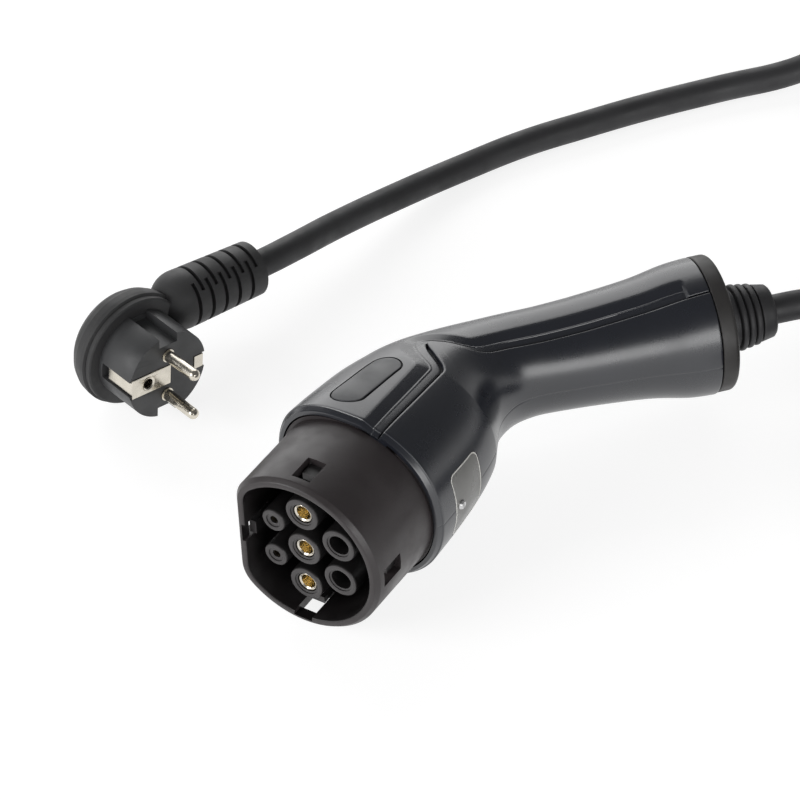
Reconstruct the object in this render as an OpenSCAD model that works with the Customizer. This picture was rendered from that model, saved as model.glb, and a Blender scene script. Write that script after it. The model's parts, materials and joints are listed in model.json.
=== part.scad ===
// Portable charger for electric vehicles: a hand-held vehicle connector with an
// angled mains plug, an in-cable control box and the leads between them.
// The connector lies on its side. Millimetres, +Z up, floor at z = 0.

/* [Nose] */
// Outside diameter of the nose shroud
nose_d = 70; // [68:0.5:71]
// Distance from the nose axis to its flat side
nose_flat = 28; // [27:0.25:29]
// Length of the nose ahead of the collar
nose_len = 38.5; // [36:0.5:42]
// Wall of the nose shroud
nose_wall = 4; // [3.5:0.25:4.5]
// Corner radius where the flat side meets the round
nose_corner_r = 14; // [10:0.5:16]
// Width of the four latch windows in the shroud
window_w = 8; // [6:0.5:10]
// Length of the latch windows along the nose
window_len = 11.5; // [9:0.5:13]
// Distance from the mating face to the windows
window_y = 4.7; // [4:0.1:6]

/* [Contacts] */
// Bore of the power and earth contacts
power_bore_d = 6; // [5.5:0.1:6.2]
// Outside diameter of the power and earth contacts
power_contact_d = 8; // [7.5:0.1:8.4]
// Outside diameter of the power sleeves
power_sleeve_d = 14.5; // [13:0.25:15]
// Bore of the signal contacts
signal_bore_d = 3; // [2.6:0.1:3.2]
// Outside diameter of the signal contacts
signal_contact_d = 4.2; // [3.9:0.1:4.6]
// Outside diameter of the signal sleeves
signal_sleeve_d = 10.2; // [9:0.2:11]
// Distance of the outer power contacts from the earth contact
power_pitch = 17.5; // [17:0.1:18]
// Height of the signal and spare sleeves above the middle plane
row_pitch = 8.75; // [8:0.05:9]
// Distance from the middle row to the signal row
signal_row = 13.2; // [12.5:0.1:13.5]
// Distance from the middle row to the spare row
spare_row = 15.7; // [15:0.1:16]
// Depth of the sleeves behind the mating face
sleeve_y = 3.5; // [2.5:0.25:5]

/* [Connector body] */
// Radius of the collar behind the nose
collar_r = 38.8; // [38.4:0.1:41]
// Reach of the collar on its flattened outer side
collar_flat = 35.3; // [34.6:0.1:37]
// Length of the straight body behind the collar
body_len = 48; // [46:1:54]
// Angle between the nose and the handle
handle_angle = 42; // [36:1:48]
// Radius of the bend between body and handle
bend_r = 80; // [74:1:88]
// Length of the straight grip behind the bend
grip_len = 69; // [64:1:80]
// Width of the grip at its narrowest
grip_w = 42; // [40:0.5:46]
// Height of the grip at its narrowest
grip_h = 41.2; // [40:0.2:46]
// Diameter of the flared rear end
flare_d = 55.2; // [54:0.2:58]
// Wall of the shells
shell_wall = 3; // [2.6:0.1:3.2]
// Width of the sunk lane along the saddle cover's edge
lane_w = 3.3; // [2.5:0.1:4]
// Depth of that lane
lane_depth = 1.6; // [1:0.1:1.8]
// Width of the slope from the cover's face down to the lane
slope_w = 4.6; // [3.5:0.1:6]
// Gap between the saddle cover and the half shells
parting_gap = 0.6; // [0.4:0.05:0.9]
// Length of the badge plate
badge_len = 36.5; // [32:0.5:38]
// Width of the badge plate
badge_w = 11.5; // [10.5:0.25:14]
// Length of the rating plate along the body
rating_len = 20; // [16:0.5:22]
// Width of the rating plate round the body
rating_w = 29; // [24:0.5:32]

/* [Rear end] */
// Length of the rear cap behind the shells
cap_len = 7; // [6:0.5:10]
// Diameter of the strain relief's rings
boot_d = 27; // [25:0.25:30]
// Diameter of the strain relief at its tip
boot_tip_d = 21.5; // [19:0.25:23]
// Length of the strain relief behind the cap
boot_len = 22; // [20:0.5:40]
// Diameter of the leads
cable_d = 12; // [11:0.25:13]

/* [Control box] */
// Length of the control box
box_l = 160; // [150:1:170]
// Width of the control box
box_w = 78; // [70:1:86]
// Height of the control box
box_h = 48; // [44:1:56]
// Wall of the control box
box_wall = 3; // [2.5:0.1:4]
// Corner radius of the control box
box_r = 14; // [10:0.5:18]
// Thickness of the gasket between base and lid
gasket_t = 1.5; // [1:0.1:2]

/* [Mains plug] */
// Diameter of the plug's front body
plug_d = 38.4; // [37:0.1:39]
// Depth of the front body from its face to the rim
plug_depth = 20; // [18:0.5:22]
// Diameter of the plug's domed back
dome_d = 50; // [46:0.5:52]
// Depth of the dome behind the rim
dome_depth = 17; // [15:0.5:20]
// Diameter of the mains pins
pin_d = 4.8; // [4.7:0.01:4.9]
// Length of the mains pins
pin_len = 19; // [18:0.1:19.5]
// Distance between the mains pins
pin_pitch = 19; // [18.8:0.05:19.2]
// Diameter of the plug's strain relief
plug_boot_d = 25; // [22:0.25:26]
// Distance from the plug's centre to the end of its strain relief
plug_boot_reach = 64; // [62:1:86]

/* [Hidden] */
$fn = 48;

// Small overlap that keeps cuts clean
eps = 0.05;
// Clearance between pieces that slide together
fit = 0.2;
// Clearance under and beside facetted skins
skin_gap = 0.35;

// Colours
shell_colour = "#23262c";
nose_colour = "#3e3938";
cap_colour = "#3a3635";
rubber_colour = "#2b2b2d";
brass_colour = "#b9954e";
nickel_colour = "#c9c4b8";

// Inside of the nose: latch channels, ledge, carrier base and retainer
channel_depth = 1.5;
ledge_h = 1.2;
ledge_t = 2;
base_t = 8;
base_y = nose_len - 4.5;
base_back = base_y + base_t;
flange_t = 1.5;
retainer_y = base_back + flange_t;
retainer_t = 3;
spigot_len = 10;
spigot_step = 2.2;
bezel_front = 0.4;
bezel_t = 5.6;
rib_t = 2;
rib_w = 12;
tongue_w = window_w - 2;
tongue_t = 1.6;
tongue_catch = 1.2;

// Contact pattern, as places [x, z] in the nose
earth_at = [0, 0];
line_at = [0, power_pitch];
neutral_at = [0, -power_pitch];
pilot_at = [-signal_row, row_pitch];
proximity_at = [-signal_row, -row_pitch];
power_sleeves = [earth_at, line_at, neutral_at, [spare_row, row_pitch], [spare_row, -row_pitch]];
power_contacts = [earth_at, line_at, neutral_at];
signal_contacts = [pilot_at, proximity_at];
contact_recess = 1.5;
bore_depth = 25;
power_crimp_d = 6.6;
signal_crimp_d = 3.6;
crimp_len = 10;
retainer_screw_at = [[12, 23], [12, -23], [-19.5, 0]];
screw_d = 3;
screw_head_d = 5.4;
screw_head_t = 2;

// Spine of the body: straight, bend, straight
bend_len = bend_r * handle_angle * PI / 180;
bend_at = body_len;
grip_at = body_len + bend_len;
shell_len = grip_at + grip_len;
function spine(u) =
    u < bend_at ? [0, nose_len + u]
    : u < grip_at ? let (t = (u - bend_at) / bend_r * 180 / PI)
        [bend_r * (1 - cos(t)), nose_len + bend_at + bend_r * sin(t)]
    : [bend_r * (1 - cos(handle_angle)) + (u - grip_at) * sin(handle_angle),
        nose_len + bend_at + bend_r * sin(handle_angle) + (u - grip_at) * cos(handle_angle)];
function turn(u) = handle_angle * min(1, max(0, (u - bend_at) / bend_len));

// Body sections along the spine: place, outer reach, inner reach, half height, squareness
grip_a = grip_w / 2;
grip_b = grip_h / 2;
flare_r = flare_d / 2;
body_rows = [
    [0, collar_flat, collar_r, collar_r, 2.7],
    [0.21 * body_len, collar_flat + 0.1, collar_r - 0.2, collar_r - 0.6, 2.6],
    [0.42 * body_len, collar_flat - 0.1, collar_r - 0.4, collar_r - 2, 2.5],
    [0.71 * body_len, collar_flat - 0.5, collar_r - 1.4, collar_r - 4, 2.4],
    [0.96 * body_len, collar_flat - 2.3, collar_r - 3.2, collar_r - 6.2, 2.3],
    [bend_at + 0.17 * bend_len, collar_flat - 5.3, collar_r - 7.2, collar_r - 9.2, 2.25],
    [bend_at + 0.41 * bend_len, grip_a + 4.5, grip_a + 4, grip_b + 4.8, 2.2],
    [bend_at + 0.69 * bend_len, grip_a + 1, grip_a - 0.4, grip_b + 1.2, 2.15],
    [bend_at + 0.96 * bend_len, grip_a, grip_a - 0.4, grip_b, 2.1],
    [grip_at + 0.25 * grip_len, grip_a + 1, grip_a + 1, grip_b + 0.6, 2.1],
    [grip_at + 0.54 * grip_len, grip_a + 2.6, grip_a + 2.6, grip_b + 2.2, 2.1],
    [grip_at + 0.71 * grip_len, flare_r - 2.6, flare_r - 2.6, flare_r - 3.2, 2.05],
    [grip_at + 0.83 * grip_len, flare_r - 0.4, flare_r - 0.4, flare_r - 0.6, 2],
    [shell_len, flare_r, flare_r, flare_r, 2]];
inner_square = 2.1;
blend = 5;
function body_col(k) = [for (row = body_rows) [row[0], row[k]]];
outer_col = body_col(1);
inner_col = body_col(2);
height_col = body_col(3);
square_col = body_col(4);
function eased(u, col) = let (h = min(blend, u, shell_len - u))
    (lookup(u - h, col) + 2 * lookup(u, col) + lookup(u + h, col)) / 4;
function power(x, p) = sign(x) * pow(abs(x), p);

// Point of the body's skin at place u along the spine and angle v round it, raised by d.
// v runs from the outer side of the bend (0) over the top (90) to the inner side (180).
function skin(u, v, d = 0) = let (
    c = spine(u), t = turn(u), outer = cos(v) > 0,
    reach = eased(u, outer ? outer_col : inner_col) + d,
    p = 2 / (outer ? eased(u, square_col) : inner_square),
    x = reach * power(cos(v), p),
    z = (eased(u, height_col) + d) * power(sin(v), p))
    [c[0] - x * cos(t), c[1] + x * sin(t), z];
// Angle that a length w takes round the skin near the top
function arc(u, w) = w / eased(u, height_col) * 180 / PI;

// Parting line between the saddle cover and the half shells: place and angle of its corners
parting = [
    [0, 110],
    [bend_at + 4, 107],
    [bend_at + 15, 78],
    [bend_at + 29, 114],
    [grip_at - 5, 119],
    [grip_at + 0.25 * grip_len, 117],
    [grip_at + 0.56 * grip_len, 114],
    [shell_len, 112]];
// Steps between the corners of the parting line
parting_steps = [9, 4, 4, 5, 3, 4, 7];
lip_len = 2.2;
lip_depth = 0.5;
lane_end = shell_len - 9;
body_places = [for (k = [0:len(parting_steps) - 1], i = [1:parting_steps[k]])
    let (a = parting[k][0], b = parting[k + 1][0]) a + (b - a) * i / parting_steps[k]];
stations = concat([0, lip_len, lip_len + 0.4], [for (u = body_places) if (u < lane_end - 1) u],
    [lane_end - 0.5, lane_end + 0.5], [for (u = body_places) if (u > lane_end + 1) u]);
function edge_drop(u) = u < lip_len + 0.2 ? lip_depth : u > shell_len - 0.1 ? 0.4 : 0;

// Ledge of the half shells that carries the saddle cover
carry_w = 4;
carry_t = 1.6;
edge_round = 0.5;

// Columns of the saddle cover at place u: angle, outer and inner raise
cover_steps = 10;
function cover_half(u) = let (
    e = lookup(u, parting) - arc(u, parting_gap), d = u < lane_end ? -lane_depth : 0)
    [[e, d], [e - arc(u, lane_w), d], [e - arc(u, lane_w + slope_w), 0]];
function cover_columns(u) = let (h = cover_half(u), m = h[2][0])
    concat([for (c = h) [-c[0], c[1], -shell_wall]],
        [for (i = [1:2 * cover_steps - 1]) [m * (i / cover_steps - 1), 0, -shell_wall]],
        [for (i = [2:-1:0]) [h[i][0], h[i][1], -shell_wall]]);
// Columns of a half shell at place u
half_steps = 8;
seam_w = 0.6;
seam_depth = 0.3;
function half_columns(u) = let (
    e = lookup(u, parting), low = -shell_wall - skin_gap, deep = low - carry_t,
    first = e + arc(u, carry_w), last = 180 - arc(u, seam_w))
    concat([[e - arc(u, carry_w), low, deep], [e, low, deep],
            [e + arc(u, 0.15), -edge_round, deep], [e + arc(u, 0.8), 0, deep]],
        [for (i = [0:half_steps]) [first + (last - first) * i / half_steps, 0, -shell_wall]],
        [[180, -seam_depth, -shell_wall]]);

// Closed shell between two skins over a grid of stations and columns
module skin_shell(grid) {
    nu = len(grid);
    nv = len(grid[0]);
    n = nu * nv;
    function o(i, j) = i * nv + j;
    function w(i, j) = n + i * nv + j;
    points = concat(
        [for (i = [0:nu - 1], c = grid[i])
            skin(stations[i], c[0], c[1] - edge_drop(stations[i]))],
        [for (i = [0:nu - 1], c = grid[i]) skin(stations[i], c[0], c[2])]);
    faces = concat(
        [for (i = [0:nu - 2], j = [0:nv - 2]) [o(i, j), o(i + 1, j), o(i, j + 1)]],
        [for (i = [0:nu - 2], j = [0:nv - 2]) [o(i + 1, j), o(i + 1, j + 1), o(i, j + 1)]],
        [for (i = [0:nu - 2], j = [0:nv - 2]) [w(i, j), w(i, j + 1), w(i + 1, j)]],
        [for (i = [0:nu - 2], j = [0:nv - 2]) [w(i + 1, j), w(i, j + 1), w(i + 1, j + 1)]],
        [for (i = [0:nu - 2]) [o(i + 1, 0), o(i, 0), w(i, 0)]],
        [for (i = [0:nu - 2]) [o(i + 1, 0), w(i, 0), w(i + 1, 0)]],
        [for (i = [0:nu - 2]) [o(i, nv - 1), o(i + 1, nv - 1), w(i + 1, nv - 1)]],
        [for (i = [0:nu - 2]) [o(i, nv - 1), w(i + 1, nv - 1), w(i, nv - 1)]],
        [for (j = [0:nv - 2]) [o(0, j), o(0, j + 1), w(0, j + 1)]],
        [for (j = [0:nv - 2]) [o(0, j), w(0, j + 1), w(0, j)]],
        [for (j = [0:nv - 2]) [o(nu - 1, j + 1), o(nu - 1, j), w(nu - 1, j)]],
        [for (j = [0:nv - 2]) [o(nu - 1, j + 1), w(nu - 1, j), w(nu - 1, j + 1)]]);
    polyhedron(points, faces);
}

// Plate that follows the skin: outline [s, t] in lengths along and round the body
patch_rings = [0.5, 1];
module skin_patch(at, outline, top, low) {
    n = len(outline);
    r = len(patch_rings);
    function place(p, d) = skin(at[0] + p[0], at[1] + arc(at[0], p[1]), d);
    function face(d) = concat([place([0, 0], d)],
        [for (k = patch_rings, p = outline) place(k * p, d)]);
    m = 1 + n * r;
    function q(k, i) = 1 + k * n + i % n;
    upper = concat([for (i = [0:n - 1]) [0, q(0, i), q(0, i + 1)]],
        [for (k = [0:r - 2], i = [0:n - 1]) [q(k, i + 1), q(k, i), q(k + 1, i)]],
        [for (k = [0:r - 2], i = [0:n - 1]) [q(k, i + 1), q(k + 1, i), q(k + 1, i + 1)]]);
    sides = concat([for (i = [0:n - 1]) [q(r - 1, i + 1), q(r - 1, i), m + q(r - 1, i)]],
        [for (i = [0:n - 1]) [q(r - 1, i + 1), m + q(r - 1, i), m + q(r - 1, i + 1)]]);
    polyhedron(concat(face(top), face(low)),
        concat(upper, sides, [for (f = upper) [m + f[0], m + f[2], m + f[1]]]));
}
// Outline of a rectangle with round corners, with n points to a corner
function round_outline(l, w, r, n) = [for (k = [0:3], i = [0:n - 1])
    let (a = 90 * k + 90 * i / (n - 1), sx = (k == 0 || k == 3) ? 1 : -1, sy = k < 2 ? 1 : -1)
    [sx * (l / 2 - r) + r * cos(a), sy * (w / 2 - r) + r * sin(a)]];

// Badge and rating plate on the body
badge_at = [26, 79];
badge_t = 1.2;
badge_gap = 0.55;
badge_points = 6;
rating_at = [22, 180.4];
rating_t = 0.6;
rating_r = 3;
rating_points = 4;
plate_screw_u = 16;
plate_screw_d = 2.2;
plate_screw_head_d = 4;
plate_screw_len = 7;

// Rear end along the handle axis, measured from the rear of the shells
cap_gap = 0.4;
cap_wall = 3;
cap_round = 2;
cap_spigot = 9;
cap_spigot_wall = 4.5;
neck_d = 20.5;
boot_flange_t = 2.6;
clamp_t = 6;
cap_spigot_r = flare_r - shell_wall - 2 * skin_gap - carry_t - 0.5;
clamp_w = 20;
clamp_screw_d = 2.4;
clamp_screw_len = 11;
clamp_screw_r = cap_spigot_r - cap_spigot_wall / 2;
core_start = shell_len - cap_spigot - clamp_t - 1;
boot_end = cap_gap + cap_len + boot_len;

// The connector's place: the middle of its outline over the origin, its collar on the floor
rear_tip = spine(shell_len + boot_end);
boot_edge = boot_tip_d / 2 - 1;
gun_right = rear_tip[0] + boot_edge * cos(handle_angle);
gun_back = rear_tip[1] + boot_edge * sin(handle_angle);
gun_at = [-(gun_right - collar_flat) / 2, -gun_back / 2, eased(lip_len + 0.4, height_col)];

// Place of the coil, the control box and the plug on the floor
coil_at = [194, 108, 1];
coil_r = 75;
coil_turns_wide = 5;
coil_turns_high = 2;
coil_section = [coil_turns_wide * cable_d, coil_turns_high * cable_d];
tie_w = 14;
tie_t = 1;
tie_gap = 0.7;
box_at = [122, 307, 0];
box_axis_z = 17;
plug_at = [-141, -35, dome_d / 2];
plug_yaw = 73;
plug_tilt = 7;
plug_arm_y = 11;
plug_arm_z = -(plug_depth + 6);

// Routes of the leads where they lie free, chosen by hand
lead_front_route = [[67, 114, 38.2], [79, 127, 35], [90, 140, 28.8]];
lead_rear_route = [
    [243, 207, 7], [256, 208, 6.5], [271, 213, 6.2], [284, 223, 6.2], [293, 239, 6.2], [296, 257, 6.2],
    [293, 275, 7], [284, 291, 10], [271, 301, 14], [256, 306, 16.6], [248, 307, 17]];
plug_lead_route = [
    [-141, 60, 24.5], [-138, 84, 19.5], [-130, 127, 10.8], [-120, 159, 6.6], [-106, 187, 6.2],
    [-90, 211, 6.2], [-73, 235, 6.2], [-50, 264, 6.2], [-28, 287, 8], [-15, 300, 13.2],
    [-6, 306, 16.4], [-1, 307, 17]];
lead_sides = 10;
core_sides = 8;

// Tube of round section swept along points
module sweep(path, r, sides) {
    last = len(path) - 1;
    function along(i) = let (t = path[min(last, i + 1)] - path[max(0, i - 1)]) t / norm(t);
    function across(t) = let (s = cross(t, [0, 0, 1])) s / norm(s);
    rings = [for (i = [0:last], k = [0:sides - 1]) let (
        t = along(i), s = across(t), n = cross(s, t), a = 360 * (k + 0.5) / sides)
        path[i] + r * (cos(a) * s + sin(a) * n)];
    polyhedron(rings, concat([[for (k = [0:sides - 1]) k]],
        [for (i = [0:last - 1], k = [0:sides - 1]) let (a = i * sides, b = a + sides, j = (k + 1) % sides)
            [a + k, b + k, b + j]],
        [for (i = [0:last - 1], k = [0:sides - 1]) let (a = i * sides, b = a + sides, j = (k + 1) % sides)
            [a + k, b + j, a + j]],
        [[for (k = [sides - 1:-1:0]) last * sides + k]]));
}

// Frames
module gun() {
    translate(gun_at) children();
}
module rearward(y, at = [0, 0]) {
    translate([at[0], y, at[1]]) rotate([-90, 0, 0]) children();
}
module behind_shells(z) {
    p = spine(shell_len + z);
    translate([p[0], p[1], 0]) rotate([0, 0, -handle_angle]) rotate([-90, 0, 0]) children();
}
module plug() {
    translate(plug_at) rotate([0, 0, plug_yaw]) rotate([0, plug_tilt, 0]) rotate([90, 0, 0]) children();
}
module box() {
    translate(box_at) children();
}

// Nose outline: a circle with one flat side and round corners
module nose_section(grow) {
    r = nose_d / 2 + grow;
    flat = nose_flat + grow;
    c = nose_corner_r + grow;
    mid = [-(flat - c), sqrt(pow(r - c, 2) - pow(flat - c, 2))];
    touch = mid * r / (r - c);
    difference() {
        circle(r, $fn = 96);
        translate([-flat - r, -r]) square([r, 2 * r]);
        for (s = [1, -1]) polygon([[mid[0], s * mid[1]], [touch[0], s * touch[1]],
            [touch[0] * 1.3, s * touch[1] * 1.3], [-flat - 1, s * touch[1] * 1.3],
            [-flat - 1, s * mid[1]]]);
    }
    for (s = [1, -1]) translate([mid[0], s * mid[1]]) circle(c);
}
// The four sides of the nose that carry latch windows: angle and distance to the inner wall
latch_sides = [[0, nose_d / 2 - nose_wall], [90, nose_d / 2 - nose_wall],
    [180, nose_flat - nose_wall], [270, nose_d / 2 - nose_wall]];
// Box on a latch side, from radius r0 to r1, of width w, from y0 to y1
module latch_box(side, r0, r1, w, y0, y1) {
    rotate([0, -side, 0]) translate([r0, y0, -w / 2]) cube([r1 - r0, y1 - y0, w]);
}

module nose_shroud() {
    reach = nose_d / 2 + 5;
    color(nose_colour) gun() difference() {
        union() {
            rearward(0) linear_extrude(nose_len) nose_section(0);
            rearward(nose_len - eps) linear_extrude(spigot_len + eps) nose_section(-spigot_step);
            for (s = latch_sides) latch_box(s[0], s[1] + 0.5, s[1] + nose_wall - 0.6, rib_w,
                nose_len + bezel_front + bezel_t, nose_len + bezel_front + bezel_t + rib_t);
        }
        rearward(-1) linear_extrude(base_y - ledge_t + 1) nose_section(-nose_wall);
        rearward(-1) linear_extrude(nose_len + spigot_len) nose_section(-nose_wall - ledge_h);
        rearward(base_y) linear_extrude(nose_len + spigot_len) nose_section(-nose_wall);
        for (s = latch_sides) {
            latch_box(s[0], s[1] - 1, reach, window_w, window_y, window_y + window_len);
            if (s[0] > 90) latch_box(s[0], s[1] - 1, s[1] + channel_depth, window_w, -1, window_y + eps);
            latch_box(s[0], s[1] - ledge_h - 1, s[1], window_w, base_y - ledge_t - 1, base_y + 1);
        }
    }
}

module contact_carrier() {
    color(nose_colour) gun() difference() {
        union() {
            rearward(base_y) linear_extrude(base_t) nose_section(-nose_wall - fit);
            for (p = power_sleeves) rearward(sleeve_y, p)
                cylinder(base_y - sleeve_y + 1, d = power_sleeve_d);
            for (p = signal_contacts) rearward(sleeve_y, p)
                cylinder(base_y - sleeve_y + 1, d = signal_sleeve_d);
            for (s = latch_sides) {
                catch_y = window_y + (s[0] == 180 ? fit : window_len / 2);
                latch_box(s[0], s[1] - fit - tongue_t, s[1] - fit, tongue_w, catch_y, base_y + 1);
                latch_box(s[0], s[1] - fit - eps, s[1] + tongue_catch, tongue_w, catch_y,
                    window_y + window_len - fit);
            }
        }
        for (p = power_contacts) rearward(sleeve_y - 1, p)
            cylinder(base_back, d = power_contact_d + 2 * fit);
        for (p = signal_contacts) rearward(sleeve_y - 1, p)
            cylinder(base_back, d = signal_contact_d + 2 * fit);
        for (k = [3, 4]) rearward(sleeve_y - 1, power_sleeves[k])
            cylinder(base_y - sleeve_y + 1, d = power_contact_d + 2 * fit);
        for (p = retainer_screw_at) rearward(base_back - 6, p) cylinder(8, d = screw_d + fit);
    }
}

// Tubular contact: open bore in front, flange behind the carrier and a crimp cup
module contact(at, d, bore, crimp_d) {
    front = sleeve_y + contact_recess;
    cup = crimp_d - 1.6;
    color(brass_colour) gun() difference() {
        union() {
            rearward(front, at) cylinder(base_back - front + eps, d = d);
            rearward(base_back, at) cylinder(flange_t, d = d + 2);
            rearward(retainer_y - eps, at) cylinder(crimp_len + eps, d = crimp_d);
        }
        rearward(front - 1, at) cylinder(bore_depth + 1, d = bore);
        rearward(retainer_y + crimp_len - 5, at) cylinder(6, d = cup);
    }
}
module contact_earth() {
    contact(earth_at, power_contact_d, power_bore_d, power_crimp_d);
}
module contact_line() {
    contact(line_at, power_contact_d, power_bore_d, power_crimp_d);
}
module contact_neutral() {
    contact(neutral_at, power_contact_d, power_bore_d, power_crimp_d);
}
module contact_pilot() {
    contact(pilot_at, signal_contact_d, signal_bore_d, signal_crimp_d);
}
module contact_proximity() {
    contact(proximity_at, signal_contact_d, signal_bore_d, signal_crimp_d);
}

module contact_retainer() {
    color("#d8d4c8") gun() difference() {
        rearward(retainer_y) linear_extrude(retainer_t) nose_section(-nose_wall - fit);
        for (p = power_contacts) rearward(retainer_y - 1, p)
            cylinder(retainer_t + 2, d = power_crimp_d + 2 * fit);
        for (p = signal_contacts) rearward(retainer_y - 1, p)
            cylinder(retainer_t + 2, d = signal_crimp_d + 2 * fit);
        for (p = retainer_screw_at) rearward(retainer_y - 1, p) cylinder(retainer_t + 2, d = screw_d + fit);
    }
}

// Three screws that hold the retainer on the carrier
module retainer_screws() {
    color(nickel_colour) gun() for (p = retainer_screw_at) {
        rearward(base_back - 5, p) cylinder(flange_t + retainer_t + 5 + eps, d = screw_d);
        rearward(retainer_y + retainer_t, p) cylinder(screw_head_t, d = screw_head_d);
    }
}

// Ring that closes the collar round the nose
module front_bezel() {
    steps = 72;
    u = bezel_front + bezel_t;
    // The ring steps in where the ledges of the half shells pass it
    function depth(v) = abs(min(v, 360 - v) - lookup(u, parting)) < arc(u, carry_w) + 6
        ? shell_wall + 2 * skin_gap + carry_t : shell_wall + skin_gap;
    outline = [for (k = [0:steps - 1]) let (v = 360 * k / steps, p = skin(u, v, -depth(v))) [p[0], p[2]]];
    color(nose_colour) gun() rearward(nose_len + bezel_front) linear_extrude(bezel_t) difference() {
        polygon(outline);
        nose_section(fit - spigot_step);
    }
}

module saddle_cover() {
    color(shell_colour) gun() difference() {
        skin_shell([for (u = stations) cover_columns(u)]);
        skin_patch(badge_at, round_outline(badge_len + 2 * badge_gap, badge_w + 2 * badge_gap,
            badge_w / 2 + badge_gap, badge_points), 1.5, -badge_t - 0.1);
    }
}

// Room for the rating plate and its screw in the half shells
module plate_room() {
    skin_patch(rating_at, round_outline(rating_len + 2 * fit, rating_w + 2 * fit, rating_r,
        rating_points), 1, -rating_t - 0.1);
    plate_screw_place() translate([0, 0, -plate_screw_len - 1])
        cylinder(plate_screw_len + 2, d = plate_screw_d + fit);
}
module upper_shell() {
    color(shell_colour) gun() difference() {
        skin_shell([for (u = stations) half_columns(u)]);
        plate_room();
    }
}
module lower_shell() {
    color(shell_colour) gun() difference() {
        mirror([0, 0, 1]) skin_shell([for (u = stations) half_columns(u)]);
        plate_room();
    }
}

module badge_plate() {
    color("#2d3036") gun() skin_patch(badge_at,
        round_outline(badge_len, badge_w, badge_w / 2, badge_points), 0, -badge_t);
}

// Frame of the plate's screw: its head faces out of the inner side of the bend
module plate_screw_place() {
    p = skin(plate_screw_u, rating_at[1]);
    translate(p) rotate([0, 90, 0]) children();
}
module rating_plate() {
    color("#55585c") gun() difference() {
        skin_patch(rating_at, round_outline(rating_len, rating_w, rating_r, rating_points), 0, -rating_t);
        plate_screw_place() translate([0, 0, -3]) cylinder(6, d = plate_screw_d + fit);
    }
}
module plate_screw() {
    color(nickel_colour) gun() plate_screw_place() difference() {
        union() {
            translate([0, 0, -plate_screw_len]) cylinder(plate_screw_len + 0.1, d = plate_screw_d);
            translate([0, 0, 0.05]) cylinder(0.9, d1 = plate_screw_head_d, d2 = plate_screw_head_d - 1);
        }
        translate([-plate_screw_head_d, -0.3, 0.5]) cube([2 * plate_screw_head_d, 0.6, 2]);
    }
}

// Round end cap: spigot inside the shells, flange, and a rear wall round the strain relief
module rear_cap() {
    r = flare_r;
    inner = cap_spigot_r - cap_spigot_wall;
    back = cap_gap + cap_len;
    color(cap_colour) gun() behind_shells(0) difference() {
        rotate_extrude($fn = 96) polygon(concat(
            [[inner, -cap_spigot], [cap_spigot_r, -cap_spigot], [cap_spigot_r, cap_gap],
                [r - 0.3, cap_gap], [r, cap_gap + 0.3]],
            [for (a = [0:15:90]) [r - cap_round + cap_round * cos(a), back - cap_round + cap_round * sin(a)]],
            [[neck_d / 2 + fit, back], [neck_d / 2 + fit, back - cap_wall], [inner, back - cap_wall]]));
        for (s = [1, -1]) translate([s * clamp_screw_r, 0, -cap_spigot - 1])
            cylinder(8, d = clamp_screw_d + fit);
    }
}

// Ringed strain relief: flange behind the cap's rear wall, neck, three rings and a tapered tip
module rear_boot() {
    wall_back = cap_gap + cap_len;
    wall_front = wall_back - cap_wall;
    r = boot_d / 2;
    groove = r - 2.2;
    step = boot_len / 7;
    bore = cable_d / 2 + fit;
    ring = [[r - 0.6, 0], [r, 0.6], [r, 0.8 * step - 0.6], [r - 0.6, 0.8 * step],
        [groove, 0.8 * step], [groove, step]];
    color(rubber_colour) gun() behind_shells(0) rotate_extrude($fn = 72) polygon(concat(
        [[bore, wall_front - boot_flange_t], [r, wall_front - boot_flange_t], [r, wall_front],
            [neck_d / 2, wall_front], [neck_d / 2, wall_back], [r - 0.2, wall_back],
            [r - 0.2, wall_back + 1.6 * step], [groove, wall_back + 1.6 * step],
            [groove, wall_back + 2 * step]],
        [for (k = [0:2], p = ring) [p[0] - 0.5 * k, wall_back + (2 + k) * step + p[1]]],
        [[boot_tip_d / 2 + 1, wall_back + 5 * step], [boot_tip_d / 2, wall_back + boot_len - 1],
            [boot_edge, wall_back + boot_len], [bore, wall_back + boot_len]]));
}

// Clamp bar on the cap's spigot that grips the jacket, and its two screws
module cable_clamp() {
    color("#77797c") gun() behind_shells(-cap_spigot - clamp_t) difference() {
        intersection() {
            cylinder(clamp_t, r = cap_spigot_r);
            translate([-cap_spigot_r - 1, -clamp_w / 2, -1])
                cube([2 * cap_spigot_r + 2, clamp_w, clamp_t + 2]);
        }
        translate([0, 0, -1]) cylinder(clamp_t + 2, d = cable_d + 2 * fit);
        for (s = [1, -1]) translate([s * clamp_screw_r, 0, -1])
            cylinder(clamp_t + 2, d = clamp_screw_d + fit);
    }
}
module clamp_screws() {
    head_t = 1.6;
    color(nickel_colour) gun() behind_shells(-cap_spigot - clamp_t) for (s = [1, -1])
        translate([s * clamp_screw_r, 0, 0]) {
            translate([0, 0, -eps]) cylinder(clamp_screw_len + eps, d = clamp_screw_d);
            translate([0, 0, -head_t]) cylinder(head_t, d = 2 * clamp_screw_d - 0.4);
        }
}

// Small board that bridges the two signal contacts with the coding resistor
module coding_board() {
    y = retainer_y + crimp_len - 4;
    t = 1.6;
    color("#1f5a3a") gun() difference() {
        translate([-signal_row - 4, y, -row_pitch - 5]) cube([8, t, 2 * row_pitch + 10]);
        for (p = signal_contacts) rearward(y - 1, p) cylinder(t + 2, d = signal_crimp_d + fit);
    }
    color("#222222") gun() translate([-signal_row - 1.5, y + t - eps, -3]) cube([3, 1.2, 6]);
}

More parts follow.
